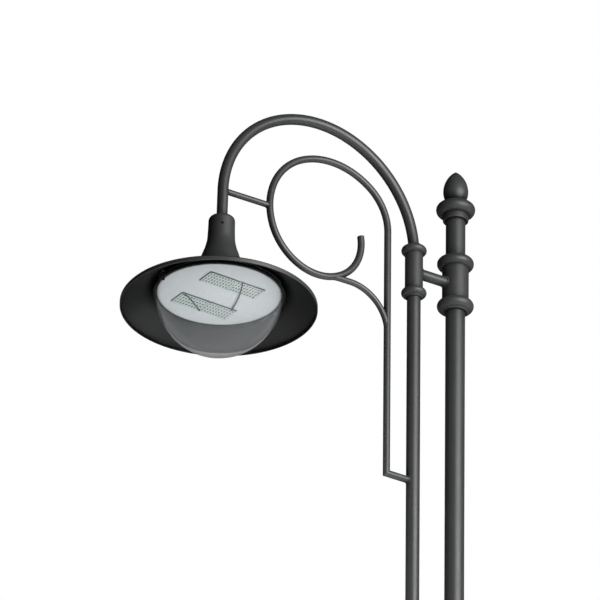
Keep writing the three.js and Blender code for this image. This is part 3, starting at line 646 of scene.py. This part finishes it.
CHARCOAL = (0.045, 0.0463, 0.0472)
FINISHES = {
    "post_paint": coating("post_powder_coat", CHARCOAL),
    "cast_paint": cast_coating("cast_powder_coat", CHARCOAL),
    "iron_paint": cast_coating("iron_paint_coat", scaled(CHARCOAL, 0.95), 0.5, 180.0, 0.0005),
    "shade_paint": coating("shade_outside_coat", scaled(CHARCOAL, 1.2), 0.4),
    # painted shade: the inside of the shade coated near black, far darker than the same paint
    # outside, for the shade that falls in it
    "interior_painted_shade": coating(
        "interior_painted_shade_coat", (0.011, 0.0114, 0.0118), 0.36, dust=0.0, gloss=0.42
    ),
    # the tray's painted shade in corners is kept to a short reach
    "tray_white": coating(
        "tray_white_coat", (0.73, 0.755, 0.765), 0.38, dust=0.0, gloss=0.42, reach=0.008
    ),
    "led_board": solder_mask("board_mask"),
    "led_lens": moulded("emitter_phosphor", (0.12, 0.15, 0.14), 0.3),
    "bowl_clear": glass("bowl_glass"),
    "heat_sink": metal("extruded_aluminium", (0.62, 0.63, 0.64), 0.34, (0.04, 1, 1)),
    "bare_steel": metal("zinc_plate", (0.50, 0.51, 0.53), 0.3),
    # the ring's own black, made as dark and dull as the painted shade inside the shade so that it
    # merges into it
    "ring_paint": moulded("ring_matt_coat", (0.012, 0.0123, 0.0126), 0.7, 700.0, specular=0.15),
    "catch_plastic": moulded("catch_moulding", (0.014, 0.0145, 0.015), 0.65, specular=0.2),
    # painted shadow: dark strips along one side of the lamp boards only
    "outline": moulded("board_edge_painted_shadow", (0.15, 0.17, 0.165), 0.7, specular=0.2),
    "screw_paint": cast_coating("painted_screw_coat", scaled(CHARCOAL, 1.3), gloss=0.5),
    "black_steel": metal("blackened_steel", (0.09, 0.09, 0.092), 0.42),
    "brass": metal("plain_brass", (0.62, 0.45, 0.19), 0.28),
    "gasket": moulded("silicone_foam", (0.02, 0.02, 0.021), 0.85, 900.0, 0.0002, 0.3),
    "black_plastic": moulded("black_moulding", (0.022, 0.023, 0.025), 0.5),
    "grey_plastic": moulded("grey_moulding", (0.27, 0.28, 0.28), 0.45),
    "wire": moulded("wire_sleeve", (0.03, 0.032, 0.034), 0.4),
    # so much dust covers every part of a weld that faces up
    "weld": coating("weld_powder_coat", scaled(CHARCOAL, 0.97), 0.45, 0.0003, dust=300.0),
}


# ---------------- adding pieces
def put_in_scene(name, data):
    obj = bpy.data.objects.new(name, data)
    bpy.context.scene.collection.objects.link(obj)
    return obj


def dress(obj, finishes, nodes, body):
    for finish in finishes:
        obj.data.materials.append(FINISHES[finish])
    weighted = obj.modifiers.new("normals", "WEIGHTED_NORMAL")
    weighted.keep_sharp = True
    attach(obj, body)
    if nodes:
        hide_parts(*nodes)
    return obj


def new_object(name, shape, place):
    mesh = bpy.data.meshes.new(name)
    mesh.from_pydata([p * MM for p in shape.points], [], shape.faces)
    mesh.polygons.foreach_set("material_index", shape.finish)
    bm = bmesh.new()
    bm.from_mesh(mesh)
    bmesh.ops.recalc_face_normals(bm, faces=bm.faces[:])
    bm.to_mesh(mesh)
    bm.free()
    obj = put_in_scene(name, mesh)
    in_metres = place.copy()
    in_metres.translation *= MM
    obj.matrix_world = in_metres
    return obj


def combine(obj, shape, operation):
    """Cuts a shape from an object, or joins the two into one skin."""
    place = obj.matrix_world.copy()
    place.translation = place.translation / MM
    other = new_object("cutter", shape, place)
    modifier = obj.modifiers.new("combine", "BOOLEAN")
    modifier.operation, modifier.object, modifier.solver = operation, other, "EXACT"
    bpy.context.view_layer.update()
    evaluated = obj.evaluated_get(bpy.context.evaluated_depsgraph_get())
    made = bpy.data.meshes.new_from_object(evaluated)
    obj.modifiers.clear()
    obj.data = made
    bpy.data.objects.remove(other)


def smooth(obj, sharp):
    obj.data.shade_smooth()
    obj.data.set_sharp_from_angle(angle=math.radians(sharp))


def add(name, shape, finishes, *nodes, body="post", place=None, cuts=(), joins=()):
    """A piece from a shape in millimetres, which stands for CAD nodes and rides on a body."""
    finishes = [finishes] if isinstance(finishes, str) else finishes
    obj = new_object(name, shape, place or Matrix())
    for extra in joins:
        combine(obj, extra, "UNION")
    for cut in cuts:
        combine(obj, cut, "DIFFERENCE")
    smooth(obj, 38)
    return dress(obj, finishes, nodes, body)


def refine(node, finish, width=0.4, body="post"):
    """A CAD node's own shape, with its flat faces joined up and its edges rounded."""
    bm = bmesh.new()
    bm.from_mesh(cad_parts[node].data)
    bmesh.ops.remove_doubles(bm, verts=bm.verts[:], dist=1e-6)
    join_flat_faces(bm, 0.4)
    bevel(bm, width * MM)
    mesh = bpy.data.meshes.new(node + "_body")
    bm.to_mesh(mesh)
    bm.free()
    mesh.materials.clear()
    obj = put_in_scene(node + "_body", mesh)
    smooth(obj, 30)
    return dress(obj, [finish], [node], body)


def round_edges(obj, width):
    """Rounds a finished piece's sharp edges, ahead of the weighting of its normals."""
    made = obj.modifiers.new("edges", "BEVEL")
    made.width, made.segments, made.angle_limit = width * MM, 2, math.radians(50)
    obj.modifiers.move(1, 0)


# ---------------- paths of the bent tubes
arm_moves = [
    ("run", ARM_SPRING_Z - COLLAR_Z["upper"] - 0.3),
    (ARM_RADIUS, 90),
    (ARM_RADIUS, 90 - LEAN),
]
arm_start = (SECOND_X, COLLAR_Z["upper"] + 0.3, 90)
arm_bend = bends(*arm_start, arm_moves)[-1]
sin_lean, cos_lean = math.sin(math.radians(LEAN)), math.cos(math.radians(LEAN))
leg_to_rim = (arm_bend[1] - RIM_Z) / cos_lean
rim_x = arm_bend[0] - leg_to_rim * sin_lean
arm_moves.append(("run", leg_to_rim - NECK_TOP + ARM_INSERT))
arm_line = bends(*arm_start, arm_moves)
LUMINAIRE = shift(rim_x, 0, RIM_Z) @ turn(LEAN, "Y")
hoop_stations = bends(RISER_X, HOOP_START_Z, 90, HOOP_BENDS)


# ---------------- base and lower shaft
def rounded_square(half, corner):
    points = []
    inner = half - corner
    for sx, sy, start in ((1, 1, 0), (-1, 1, 90), (-1, -1, 180), (1, -1, 270)):
        points += arc(sx * inner, sy * inner, corner, start, start + 90, 10)
    return points


def base():
    holes = [
        circle(HOLE_R, 32, x * HOLE_PITCH, y * HOLE_PITCH) for x in (-1, 1) for y in (-1, 1)
    ]
    holes.append(circle(CABLE_HOLE_R, 32, 0, CABLE_HOLE_Y))
    outline = rounded_square(PLATE_HALF, PLATE_CORNER)
    plate = prism(outline, 0, PLATE_THICK, 1.2, holes)
    add("foot_plate", plate, "post_paint", "base_plate")
    foot = PLATE_THICK + 0.3
    bore = SHAFT_R + FIT
    casting = lathe([
        (150, foot), (170, foot), (170, 34),
        *arc(158, 34, 12, 0, 90, 8),
        *arc(150, 84, 38, 270, 180, 16),
        *arc(112, 92, 8, -90, 90, 10),
        (104, 100), (78, 226),
        *arc(78, 234, 8, -90, 90, 10),
        (71, 242), (66, 262), (bore, 262),
        (bore, 240), (70, 226), (94, 100), (94, 60), (110, 40), (150, 28),
    ])
    add("foot_casting", casting, "iron_paint", "base_casting")


def lower_shaft():
    edge = DOOR_HALF_ANGLE + DOOR_GAP_ANGLE
    across = spread(-edge, edge, 32)
    around = spread(edge, 360 - edge, 96)[1:-1]
    heights = [SHAFT_BOTTOM, DOOR_Z[0] - DOOR_GAP_Z, DOOR_Z[1] + DOOR_GAP_Z, SHAFT_TOP]
    gaps = {(i, 1) for i in range(32)}
    inner = SHAFT_R - SHAFT_WALL
    wall = panel(inner, SHAFT_R, across + around, heights, gaps, whole=True)
    shaft = add("shaft_tube", wall, "post_paint", "lower_shaft")
    round_edges(shaft, 0.6)


def door():
    half = DOOR_HALF_ANGLE
    skin = panel(SHAFT_R - SHAFT_WALL, SHAFT_R, spread(-half, half, 32), list(DOOR_Z))
    hinge = turn(DOOR_HINGE_ANGLE - 90, "Z") @ shift(DOOR_HINGE_R)
    tab_r = SHAFT_R + 0.4
    joins = []
    for z in DOOR_KNUCKLES:
        top = z + KNUCKLE_LENGTH
        tab_angles = spread(half - 6, DOOR_HINGE_ANGLE, 8)
        joins.append(panel(tab_r - 1.4, tab_r + 3, tab_angles[:5], [z, top]))
        joins.append(panel(tab_r, tab_r + 3, tab_angles[3:], [z, top]))
        joins.append(rod(KNUCKLE_R, z, top).at(hinge))
    at_lock = turn(LOCK_ANGLE, "Z") @ shift(0, 0, LOCK_Z) @ turn(90, "X")
    cuts = [
        rod(9.3, 40, 70, 48).at(at_lock),
        rod(2.6, DOOR_Z[0], DOOR_Z[1]).at(hinge),
    ]
    leaf = add(
        "door_leaf", skin, "post_paint", "access_door", body="door", joins=joins, cuts=cuts
    )
    round_edges(leaf, 0.5)


base()
lower_shaft()
door()
refine("door_hinge_block", "post_paint", 0.4)
refine("door_hinge_pin", "bare_steel", 0.3)
refine("door_lock", "bare_steel", 0.4, "lock")
refine("backboard", "black_plastic", 1.0)
refine("fuse_box", "grey_plastic", 1.2)
refine("fuse_carrier", "black_plastic", 0.8, "fuse_carrier")
refine("earth_stud", "brass", 0.4)


# ---------------- upper column
def upper_column():
    skirt = SHAFT_R + FIT
    bore = POST_R + FIT
    seat = SHAFT_TOP + 0.3
    reducer = lathe([
        (skirt, seat - 22), (66, seat - 22),
        *arc(62, seat - 10, 9, -60, 90, 14),
        (57, seat + 4),
        *arc(100, seat + 86, 58, 235, 180, 16),
        *arc(40, seat + 98, 8, -60, 90, 12),
        (36, seat + 112), (bore, seat + 112), (bore, seat), (skirt, seat),
    ])
    add("reducer_casting", reducer, "iron_paint", "shaft_reducer")
    post_top = CAP_RING_Z + 4.7
    post = ring(POST_R - POST_WALL, POST_R, POST_BOTTOM, post_top, 96)
    add("post_tube", post, "post_paint", "main_post")
    cap = lathe([
        (bore, CAP_RING_Z - 40), (38, CAP_RING_Z - 40), (39.5, CAP_RING_Z - 38),
        (39.5, CAP_RING_Z - 20),
        *arc(40, CAP_RING_Z, 20, -88, 90, 24),
        (0, CAP_RING_Z + 20), (0, CAP_RING_Z + 5), (bore, CAP_RING_Z + 5),
    ])
    add("cap_casting", cap, "cast_paint", "post_cap")
    widest_z = TIP_Z - FINIAL_RISE
    ogive = (FINIAL_R**2 + FINIAL_RISE**2) / (2 * FINIAL_R)
    tip = math.degrees(math.asin(FINIAL_RISE / ogive))
    acorn = lathe([
        (0, FINIAL_SEAT_Z), (27, FINIAL_SEAT_Z),
        *arc(FINIAL_R - 60, widest_z, 60, -38, 0, 12),
        *arc(FINIAL_R - ogive, widest_z, ogive, tip / 24, tip * 0.985, 24),
        (0, TIP_Z),
    ])
    add("finial_casting", acorn, "cast_paint", "finial")


def collar(size, lower_bore, upper_bore):
    """A sleeve with a bead near each end, bored from below and from above."""
    half = COLLAR_PITCH / 2
    major = size["bead"] - size["minor"]
    lip_r = size["bead"] - 1.1 * size["minor"]
    end = half + size["minor"] + size["lip"]
    reach = math.degrees(math.acos((size["sleeve"] - major) / size["minor"]))
    low = arc(major, -half, size["minor"], -reach, reach, 20)
    high = arc(major, half, size["minor"], -reach, reach, 20)
    profile = [(lower_bore, -end), (lip_r, -end), *low, *high, (lip_r, end), (upper_bore, end)]
    if upper_bore != lower_bore:
        profile += [(upper_bore, 0), (lower_bore, 0)]
    return lathe(profile, 96, 1.0)


def collars():
    main_bore = POST_R + FIT
    small_bore = SECOND_R + FIT
    socket = tube(arm_line[: len(arm_line) // 4], ARM_R + FIT, lip=0.1)
    for level, z in COLLAR_Z.items():
        screw_hole = rod(4.4, 0, 60, 24).at(shift(0, 0, z + 22) @ turn(90, "Y"))
        body = collar(MAIN_COLLAR, main_bore, main_bore).at(shift(0, 0, z))
        node = f"main_collar_{level}"
        add(node + "_casting", body, "cast_paint", node, cuts=[screw_hole])
        upper = ARM_R - 2 if level == "upper" else small_bore
        small = collar(SMALL_COLLAR, small_bore, upper).at(shift(SECOND_X, 0, z))
        node, cuts = f"small_collar_{level}", [socket] if level == "upper" else []
        add(node + "_casting", small, "cast_paint", node, cuts=cuts)
        refine(f"collar_screw_{level}", "black_steel", 0.3)
        bridge(level, z)


def crossbar(piece, node, z, r, start, end, weld):
    """A bar along X, welded at both ends. start and end are where its axis meets a bar, and the
    cut of its end there."""
    (x0, start_cut), (x1, end_cut) = start, end
    stations = [(x, z, 0) for x in (x0, (x0 + x1) / 2, x1)]
    body = tube(stations, r, start=start_cut, end=end_cut)
    add(piece + "_tube", body, "post_paint", node)
    beads = weld_ring(Vector((x0, 0, z)), r, start_cut, weld)
    beads.join(weld_ring(Vector((x1, 0, z)), r, end_cut, weld))
    add(piece + "_welds", beads, "weld")


def bridge(level, z):
    main, small = MAIN_COLLAR["sleeve"], SMALL_COLLAR["sleeve"]
    to_main = until(Vector((0, 0, z)), Z_AXIS, main + TOUCH)
    to_small = until(Vector((SECOND_X, 0, z)), Z_AXIS, small + TOUCH)
    ends = (SECOND_X + small, to_small), (-main, to_main)
    crossbar(f"bridge_{level}", f"bridge_{level}", z, BRIDGE_R, *ends, BRIDGE_WELD)


def second_tube():
    at = shift(SECOND_X)
    end = COLLAR_Z["lower"] - COLLAR_PITCH / 2 - SMALL_COLLAR["minor"]
    tube_shape = ring(SECOND_R - SECOND_WALL, SECOND_R, end, COLLAR_Z["upper"] - 0.3, 80)
    add("second_tube_body", tube_shape.at(at), "post_paint", "second_tube")
    top = end - SMALL_COLLAR["lip"]
    drop = lathe([
        (0, top - 62), (8, top - 58),
        *arc(0, top - 40, 19, -60, 40, 16),
        (13, top - 24), (22, top - 14), (26, top - 4), (22, top - 0.3), (0, top - 0.3),
    ], 80, 2.0)
    add("tube_drop_casting", drop.at(at), "cast_paint", "second_tube_cap")


# ---------------- arm and scroll
def arm():
    add("arm_tube", tube(arm_line, ARM_R, ARM_R - ARM_WALL), "post_paint", "arm")


def on_mitre(point, along):
    """The end cut of the riser or of the foot on the plane that halves their corner."""
    gap = 0.15
    if abs(along.z) > abs(along.x):
        return (point.x - RISER_X) + (RISER_BOTTOM_Z - point.z) + gap
    return (point.z - RISER_BOTTOM_Z) + (RISER_X - point.x) + gap


def scroll():
    bore = SCROLL_R - SCROLL_WALL
    riser_heights = (RISER_BOTTOM_Z, RISER_BOTTOM_Z + 100, HOOP_START_Z - 0.3)
    riser_line = [(RISER_X, z, 90) for z in riser_heights]
    riser = tube(riser_line, SCROLL_R, bore, start=on_mitre)
    add("riser_tube", riser, "post_paint", "scroll_riser")
    to_second = until(Vector((SECOND_X, 0, 0)), Z_AXIS, SECOND_R + TOUCH)
    foot_end = SECOND_X - SECOND_R
    foot_line = [(x, RISER_BOTTOM_Z, 0) for x in (RISER_X, RISER_X + 40, foot_end)]
    foot = tube(foot_line, SCROLL_R, start=on_mitre, end=to_second)
    add("foot_tube", foot, "post_paint", "scroll_foot")
    hoop = tube(hoop_stations, SCROLL_R, bore)
    add("hoop_tube", hoop, "post_paint", "scroll_hoop")
    at_foot = Vector((foot_end, 0, RISER_BOTTOM_Z))
    joint = weld_ring(at_foot, SCROLL_R, to_second, FOOT_WELD)
    add("foot_weld", joint, "weld")


def branch():
    """The branch leaves the hoop just past its lowest point and comes down onto the riser."""
    start = min(hoop_stations, key=lambda s: abs(s[2] - 360 - BRANCH_HEADING))
    ease = start[2] - 360
    ease_x = start[0] + BRANCH_EASE * math.sin(math.radians(ease))
    moves = [
        (BRANCH_EASE, -ease),
        ("run", RISER_X - BRANCH_RADIUS - ease_x),
        (BRANCH_RADIUS, -90),
    ]
    line = bends(start[0], start[1], ease, moves)
    add("branch_tube", tube(line, STRUT_R), "post_paint", "scroll_branch")


def strut():
    left = min(hoop_stations)
    heading = math.radians(left[2])
    hoop_line = Vector((math.cos(heading), 0, math.sin(heading)))
    hoop_side = until(Vector((left[0], 0, left[1])), hoop_line, SCROLL_R + TOUCH)
    leg = Vector((arm_bend[0], 0, arm_bend[1]))
    arm_side = until(leg, Vector((sin_lean, 0, cos_lean)), ARM_R + TOUCH)
    ends = (arm_bend[0] + ARM_R, arm_side), (left[0] - SCROLL_R, hoop_side)
    crossbar("strut", "luminaire_strut", STRUT_Z, STRUT_R, *ends, STRUT_WELD)


upper_column()
collars()
second_tube()
arm()
scroll()
branch()
strut()


# ---------------- luminaire: neck and shade
def neck():
    foot = SHADE_TOP_Z + 0.3
    insert = NECK_TOP - ARM_INSERT
    bore = ARM_R + FIT
    body = lathe([
        (bore, NECK_TOP), (24, NECK_TOP),
        *arc(NECK_R - 15, NECK_TOP - 15, 15, 80, 0, 12),
        (NECK_R + 0.4, 272), (42, 244), (42.8, 234), (44, 226), (46.6, 214), (49.8, 202),
        (54.2, 190), (59, 176), (NECK_FOOT_R, foot + 11), (NECK_FOOT_R + 2.6, foot + 4),
        (NECK_FOOT_R + 4, foot), (40, foot),
        (28, insert - 12), (12, insert - 2), (12, insert - 1), (bore, insert - 1),
    ])
    screws = [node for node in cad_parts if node.startswith("neck_screw_")]
    cuts = []
    for node in screws:
        low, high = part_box(node)
        middle = LUMINAIRE.inverted() @ (((low + high) / 2) / MM)
        angle = math.degrees(math.atan2(middle.y, middle.x))
        place = turn(angle, "Z") @ shift(0, 0, middle.z) @ turn(90, "Y")
        cuts.append(rod(4.4, 20, 60, 24).at(place))
        refine(node, "screw_paint", 0.3)
    add("neck_shell", body, "cast_paint", "neck_casting", place=LUMINAIRE, cuts=cuts)


def trumpet(steps):
    """The outer line of the shade, from its flat top to its lip."""
    a, b, c = (SHADE_TOP_R, SHADE_TOP_Z), SHADE_WAIST, (SHADE_R - 4, SHADE_LIP + 2)
    points = []
    for i in range(steps + 1):
        t = i / steps
        points.append(
            tuple((1 - t) ** 2 * p + 2 * t * (1 - t) * q + t * t * r for p, q, r in zip(a, b, c))
        )
    return points


def shade():
    outer = trumpet(28)
    rim = SHADE_R - 0.1
    inner = [(r - 1.5, z - SHADE_THICK) for r, z in reversed(outer)]
    profile = [
        (9.8, SHADE_TOP_Z), *outer,
        (rim, SHADE_LIP - 2), (rim, 1), (SHADE_R - 1, 0.1), (SHADE_R - 3.5, 0.1),
        (SHADE_R - 3.5, SHADE_LIP - 4),
        *inner, (9.8, SHADE_TOP_Z - SHADE_THICK),
    ]
    skin = lathe(profile, 192, 1.2)
    # faces inside the shade, under its outer skin, take the second finish: painted shade
    lip_inside = SHADE_R - 1.8
    for k, face in enumerate(skin.faces):
        middle = sum((skin.points[i] for i in face), Vector()) / len(face)
        r = math.hypot(middle.x, middle.y)
        if r < lip_inside and middle.z < height_at(outer, r) - 0.5 * SHADE_THICK:
            skin.finish[k] = 1
    add("shade_spinning", skin, ["shade_paint", "interior_painted_shade"], "shade", place=LUMINAIRE)


def height_at(line, r):
    """The height of a line of [r, z] points at a radius."""
    if r <= line[0][0]:
        return line[0][1]
    for (r0, z0), (r1, z1) in zip(line, line[1:]):
        if r0 <= r <= r1:
            return z0 + (z1 - z0) * (r - r0) / (r1 - r0)
    return line[-1][1]


# ---------------- luminaire: tray and gear
def tray():
    wall, flange, flange_z, thick = 189.4, 198, TRAY_FLANGE_Z, 2
    pan = lathe([
        (0, TRAY_Z), (wall, TRAY_Z), (wall, flange_z), (flange, flange_z),
        (flange, flange_z + thick), (wall - 2, flange_z + thick),
        (wall - 2, TRAY_Z + 3), (0, TRAY_Z + 3),
    ], 160, 1.0)
    top = flange_z + thick
    tabs = [
        slab((-211, -192), (-8, 8), (flange_z, top)),
        slab((192, 211), (-12, 12), (flange_z, top)),
    ]
    catch_hole = rod(3.5, flange_z - 1, top + 1, 24).at(shift(CATCH_X))
    add(
        "tray_pan", pan, "tray_white", "gear_tray", place=LUMINAIRE, joins=tabs, cuts=[catch_hole]
    )


def board_place(i):
    side, row = ((-1, 0), (1, 0), (1, 1), (-1, 1))[i]
    return shift(side * BOARD_X, BOARD_ROWS[row], TRAY_Z - 0.3)


def emitters():
    """The emitters of one board, each a square package with a domed lens."""
    shape = Shape()
    package = slab((-2.3, 2.3), (-3.2, 3.2), (-0.7, 0), 0.15)
    lens = lathe([(0, -1.4), *arc(0, -0.35, 1.3, -70, 0, 4), (1.3, -0.3), (0, -0.3)], 12, 0.0)
    package.paint(1)
    lens.paint(1)
    columns, rows = 9, 4
    for column in range(columns):
        for row in range(rows):
            x = (column - (columns - 1) / 2) * EMITTER_PITCH_X
            y = (row - (rows - 1) / 2) * EMITTER_PITCH_Y
            shape.join(package, shift(x, y)).join(lens, shift(x, y))
    return shape


def boards():
    half_l, half_w, inset = BOARD_LENGTH / 2, BOARD_WIDTH / 2, 2.6
    field = emitters().at(shift(0, 0, -1.6))
    for i in range(4):
        body = slab((-half_l, half_l), (-half_w, half_w), (-1.6, 0), 0.2)
        for x in (inset - half_l, half_l - inset):
            for y in (inset - half_w, half_w - inset):
                body.join(rod(1.8, -2.6, -1.5, 16, 0.3).paint(1), shift(x, y))
        # painted shadow: a dark strip along each board's -Y edge, and along the outer -X edge of
        # the two boards on the -X side, where the boards' edges show a dark line
        outline = slab((-half_l, half_l), (-half_w - 1.1, -half_w + 0.2), (-2.6, -0.1), 0.4)
        if i in (0, 3):
            outline.join(slab((-half_l - 1.1, -half_l + 0.2), (-half_w, half_w), (-2.6, -0.1), 0.4))
        body.join(outline.paint(2))
        place = LUMINAIRE @ board_place(i)
        finishes = ["led_board", "bare_steel", "outline"]
        add(f"board_{i + 1}", body, finishes, f"led_board_{i + 1}", place=place)
        add(f"emitters_{i + 1}", field, ["led_board", "led_lens"], place=place)


def curve_points(*knots):
    """A smooth line through knots."""
    line = [knots[0], *knots, knots[-1]]
    points = []
    for p0, p1, p2, p3 in zip(line, line[1:], line[2:], line[3:]):
        for i in range(10):
            t = i / 10
            a = p1 * 2 + (p2 - p0) * t
            b = (p0 * 2 - p1 * 5 + p2 * 4 - p3) * t * t
            c = (p1 * 3 - p0 - p2 * 3 + p3) * t**3
            points.append((a + b + c) / 2)
    return [*points, knots[-1]]


def wires():
    """Jumpers from board to board across the tray, each end in a small plug."""
    runs = [
        [(17, -104), (33, -72), (58, -14), (80, 52)],
        [(-84, 58), (-70, 62), (-36, 84), (1, 112)],
    ]
    shape = Shape()
    for run in runs:
        for offset in (-0.9, 0.9):
            knots = []
            for k, (x, y) in enumerate(run):
                z = TRAY_Z - (3.2 if k in (0, len(run) - 1) else 5.0)
                knots.append(Vector((x + offset, y - 0.4 * offset, z)))
            shape.join(flex(curve_points(*knots), 0.7))
        for x, y in (run[0], run[-1]):
            shape.join(slab((-2.6, 2.6), (-2.6, 2.6), (-4.6, -1.5), 0.5), shift(x, y, TRAY_Z - 0.3))
    add("board_wires", shape, "wire", place=LUMINAIRE)


neck()
shade()
tray()
boards()
wires()
refine("heat_sink", "heat_sink", 0.4)
refine("led_driver", "grey_plastic", 0.8)
refine("terminal_block", "black_plastic", 0.4)
refine("cable_gland", "black_plastic", 0.4)
for i in range(1, 5):
    refine(f"neck_bolt_{i}", "bare_steel", 0.3)
    refine(f"tray_pillar_{i}", "bare_steel", 0.4)


# ---------------- luminaire: bowl and its ring
def bowl():
    inner = BOWL_R - BOWL_WALL
    flange, top = 196.5, BOWL_TOP
    shell = lathe([
        *arc(0, TRAY_Z, BOWL_R, -90, 0, 40),
        (BOWL_R, top - 4), (flange, top - 4), (flange, top), (inner, top),
        *arc(0, TRAY_Z, inner, 0, -90, 40),
    ], 192, 0.6)
    add("bowl_glass_shell", shell, "bowl_clear", "bowl", body="bowl_frame", place=LUMINAIRE)


def bowl_ring():
    inner, outer, low, high, ledge = 193.5, 201, 44, BOWL_TOP, 47.6
    body = lathe([
        (inner, low), (outer, low), (outer, high), (197, high), (197, ledge), (inner, ledge),
    ], 160, 1.0)
    at_hinge = shift(HINGE_X, 0, HINGE_Z) @ turn(-90, "X")
    joins = []
    for side in (-1, 1):
        y = sorted((side * 7.4, side * 14))
        joins.append(rod(3.5, y[0], y[1], 32).at(at_hinge))
        joins.append(slab((199.5, HINGE_X), y, (HINGE_Z - 3.5, HINGE_Z + 0.1), 0.3))
    joins.append(slab((-214, -199), (-9, 9), (44, 50.5), 0.8))
    cuts = [
        rod(2.15, -20, 20, 24).at(at_hinge),
        rod(3.4, 42, 52, 24).at(shift(CATCH_X)),
    ]
    add(
        "bowl_ring_casting", body, "ring_paint", "bowl_ring",
        body="bowl_frame", place=LUMINAIRE, joins=joins, cuts=cuts,
    )
    seal = ring(191, 197, BOWL_TOP + 0.4, TRAY_FLANGE_Z - 0.3, 160, 0.6)
    add("tray_seal", seal, "gasket", "bowl_gasket", place=LUMINAIRE)


bowl()
bowl_ring()
refine("bowl_hinge_bracket", "bare_steel", 0.3)
refine("bowl_hinge_pin", "bare_steel", 0.2)
refine("bowl_catch", "catch_plastic", 0.4, "catch")


# ---------------- camera, floor and light
AZIMUTH, ELEVATION, ROLL = -33.066, -28.436, 0.489
TARGET = Vector((-0.5658, 0.0, 3.3831))
FRAME_WIDTH = 1.8203  # metres across the picture at the target
DISTANCE = 55.0
LIT_CENTRE = Vector((-0.5, 0, 2.9))


def looking(azimuth, elevation):
    """The direction from the object to an eye at this azimuth and elevation."""
    a, e = math.radians(azimuth), math.radians(elevation)
    return Vector((math.sin(a) * math.cos(e), -math.cos(a) * math.cos(e), math.sin(e)))


def camera():
    data = bpy.data.cameras.new("camera")
    data.sensor_width = 36
    data.lens = data.sensor_width * DISTANCE / FRAME_WIDTH
    data.clip_end = 2 * DISTANCE
    eye = put_in_scene("camera", data)
    back = looking(AZIMUTH, ELEVATION)
    eye.location = TARGET + back * DISTANCE
    level = Z_AXIS.cross(back).normalized()
    axes = Matrix((level, back.cross(level), back)).transposed()
    eye.rotation_euler = (axes @ Matrix.Rotation(math.radians(ROLL), 3, "Z")).to_euler()
    bpy.context.scene.camera = eye


def lamp(name, shape, size, power, location, rotation, glossy):
    """A soft lamp that only its light, and its reflection if glossy, give away."""
    data = bpy.data.lights.new(name, "AREA")
    data.shape, data.energy = shape, power
    data.size, data.size_y = size
    made = put_in_scene(name, data)
    made.location, made.rotation_euler = location, rotation
    made.visible_camera = made.visible_transmission = False
    made.visible_glossy = glossy


def softbox(name, azimuth, elevation, distance, size, power, glossy=True):
    away = looking(azimuth, elevation)
    rotation = (-away).to_track_quat("-Z", "Y").to_euler()
    lamp(name, "RECTANGLE", size, power, LIT_CENTRE + away * distance, rotation, glossy)


def studio():
    bm = bmesh.new()
    bmesh.ops.create_circle(bm, cap_ends=True, segments=128, radius=4.0)
    mesh = bpy.data.meshes.new("floor")
    bm.to_mesh(mesh)
    bm.free()
    floor = put_in_scene("floor", mesh)
    floor.location.z = -0.002
    pale = Finish("floor_pale").set(Base_Color=(0.82, 0.82, 0.81, 1), Roughness=0.8)
    mesh.materials.append(pale)

    world = bpy.data.worlds.new("studio")
    world.use_nodes = True
    bpy.context.scene.world = world
    air = Nodes(world.node_tree)
    backdrop = air.tree.nodes["Background"]
    air.put((1, 1, 1, 1), backdrop.inputs["Color"])
    path = air.node("ShaderNodeLightPath").outputs
    strength = air.math("MULTIPLY", path["Is Diffuse Ray"], 0.035)
    for ray, amount in (("Is Glossy Ray", 0.02), ("Is Transmission Ray", 0.3)):
        strength = air.math("ADD", strength, air.math("MULTIPLY", path[ray], amount))
    fill = air.node("ShaderNodeBackground", Color=(1.0, 0.985, 0.985, 1), Strength=strength)
    shaders = fill.outputs["Background"], backdrop.outputs["Background"]
    air.show(path["Is Camera Ray"], *shaders, "World Output")

    # azimuth and elevation in degrees, distance and size in metres, watts
    softbox("key", 12, 9, 6.0, (5.5, 4.0), 455)
    softbox("side", 95, 0, 6.0, (3.0, 4.0), 130, glossy=False)
    softbox("window", 83, -24, 2.4, (0.13, 2.2), 3)
    softbox("back", 160, 14, 6.0, (4.0, 4.0), 260, glossy=False)
    under_tray = (rim_x * MM, -0.15, 1.9)
    lamp("tray_lamp", "DISK", (0.7, 0.7), 10.7, under_tray, (math.pi, 0, 0), False)


camera()
studio()
bpy.context.scene.view_settings.view_transform = "Standard"
bpy.context.scene.view_settings.look = "None"
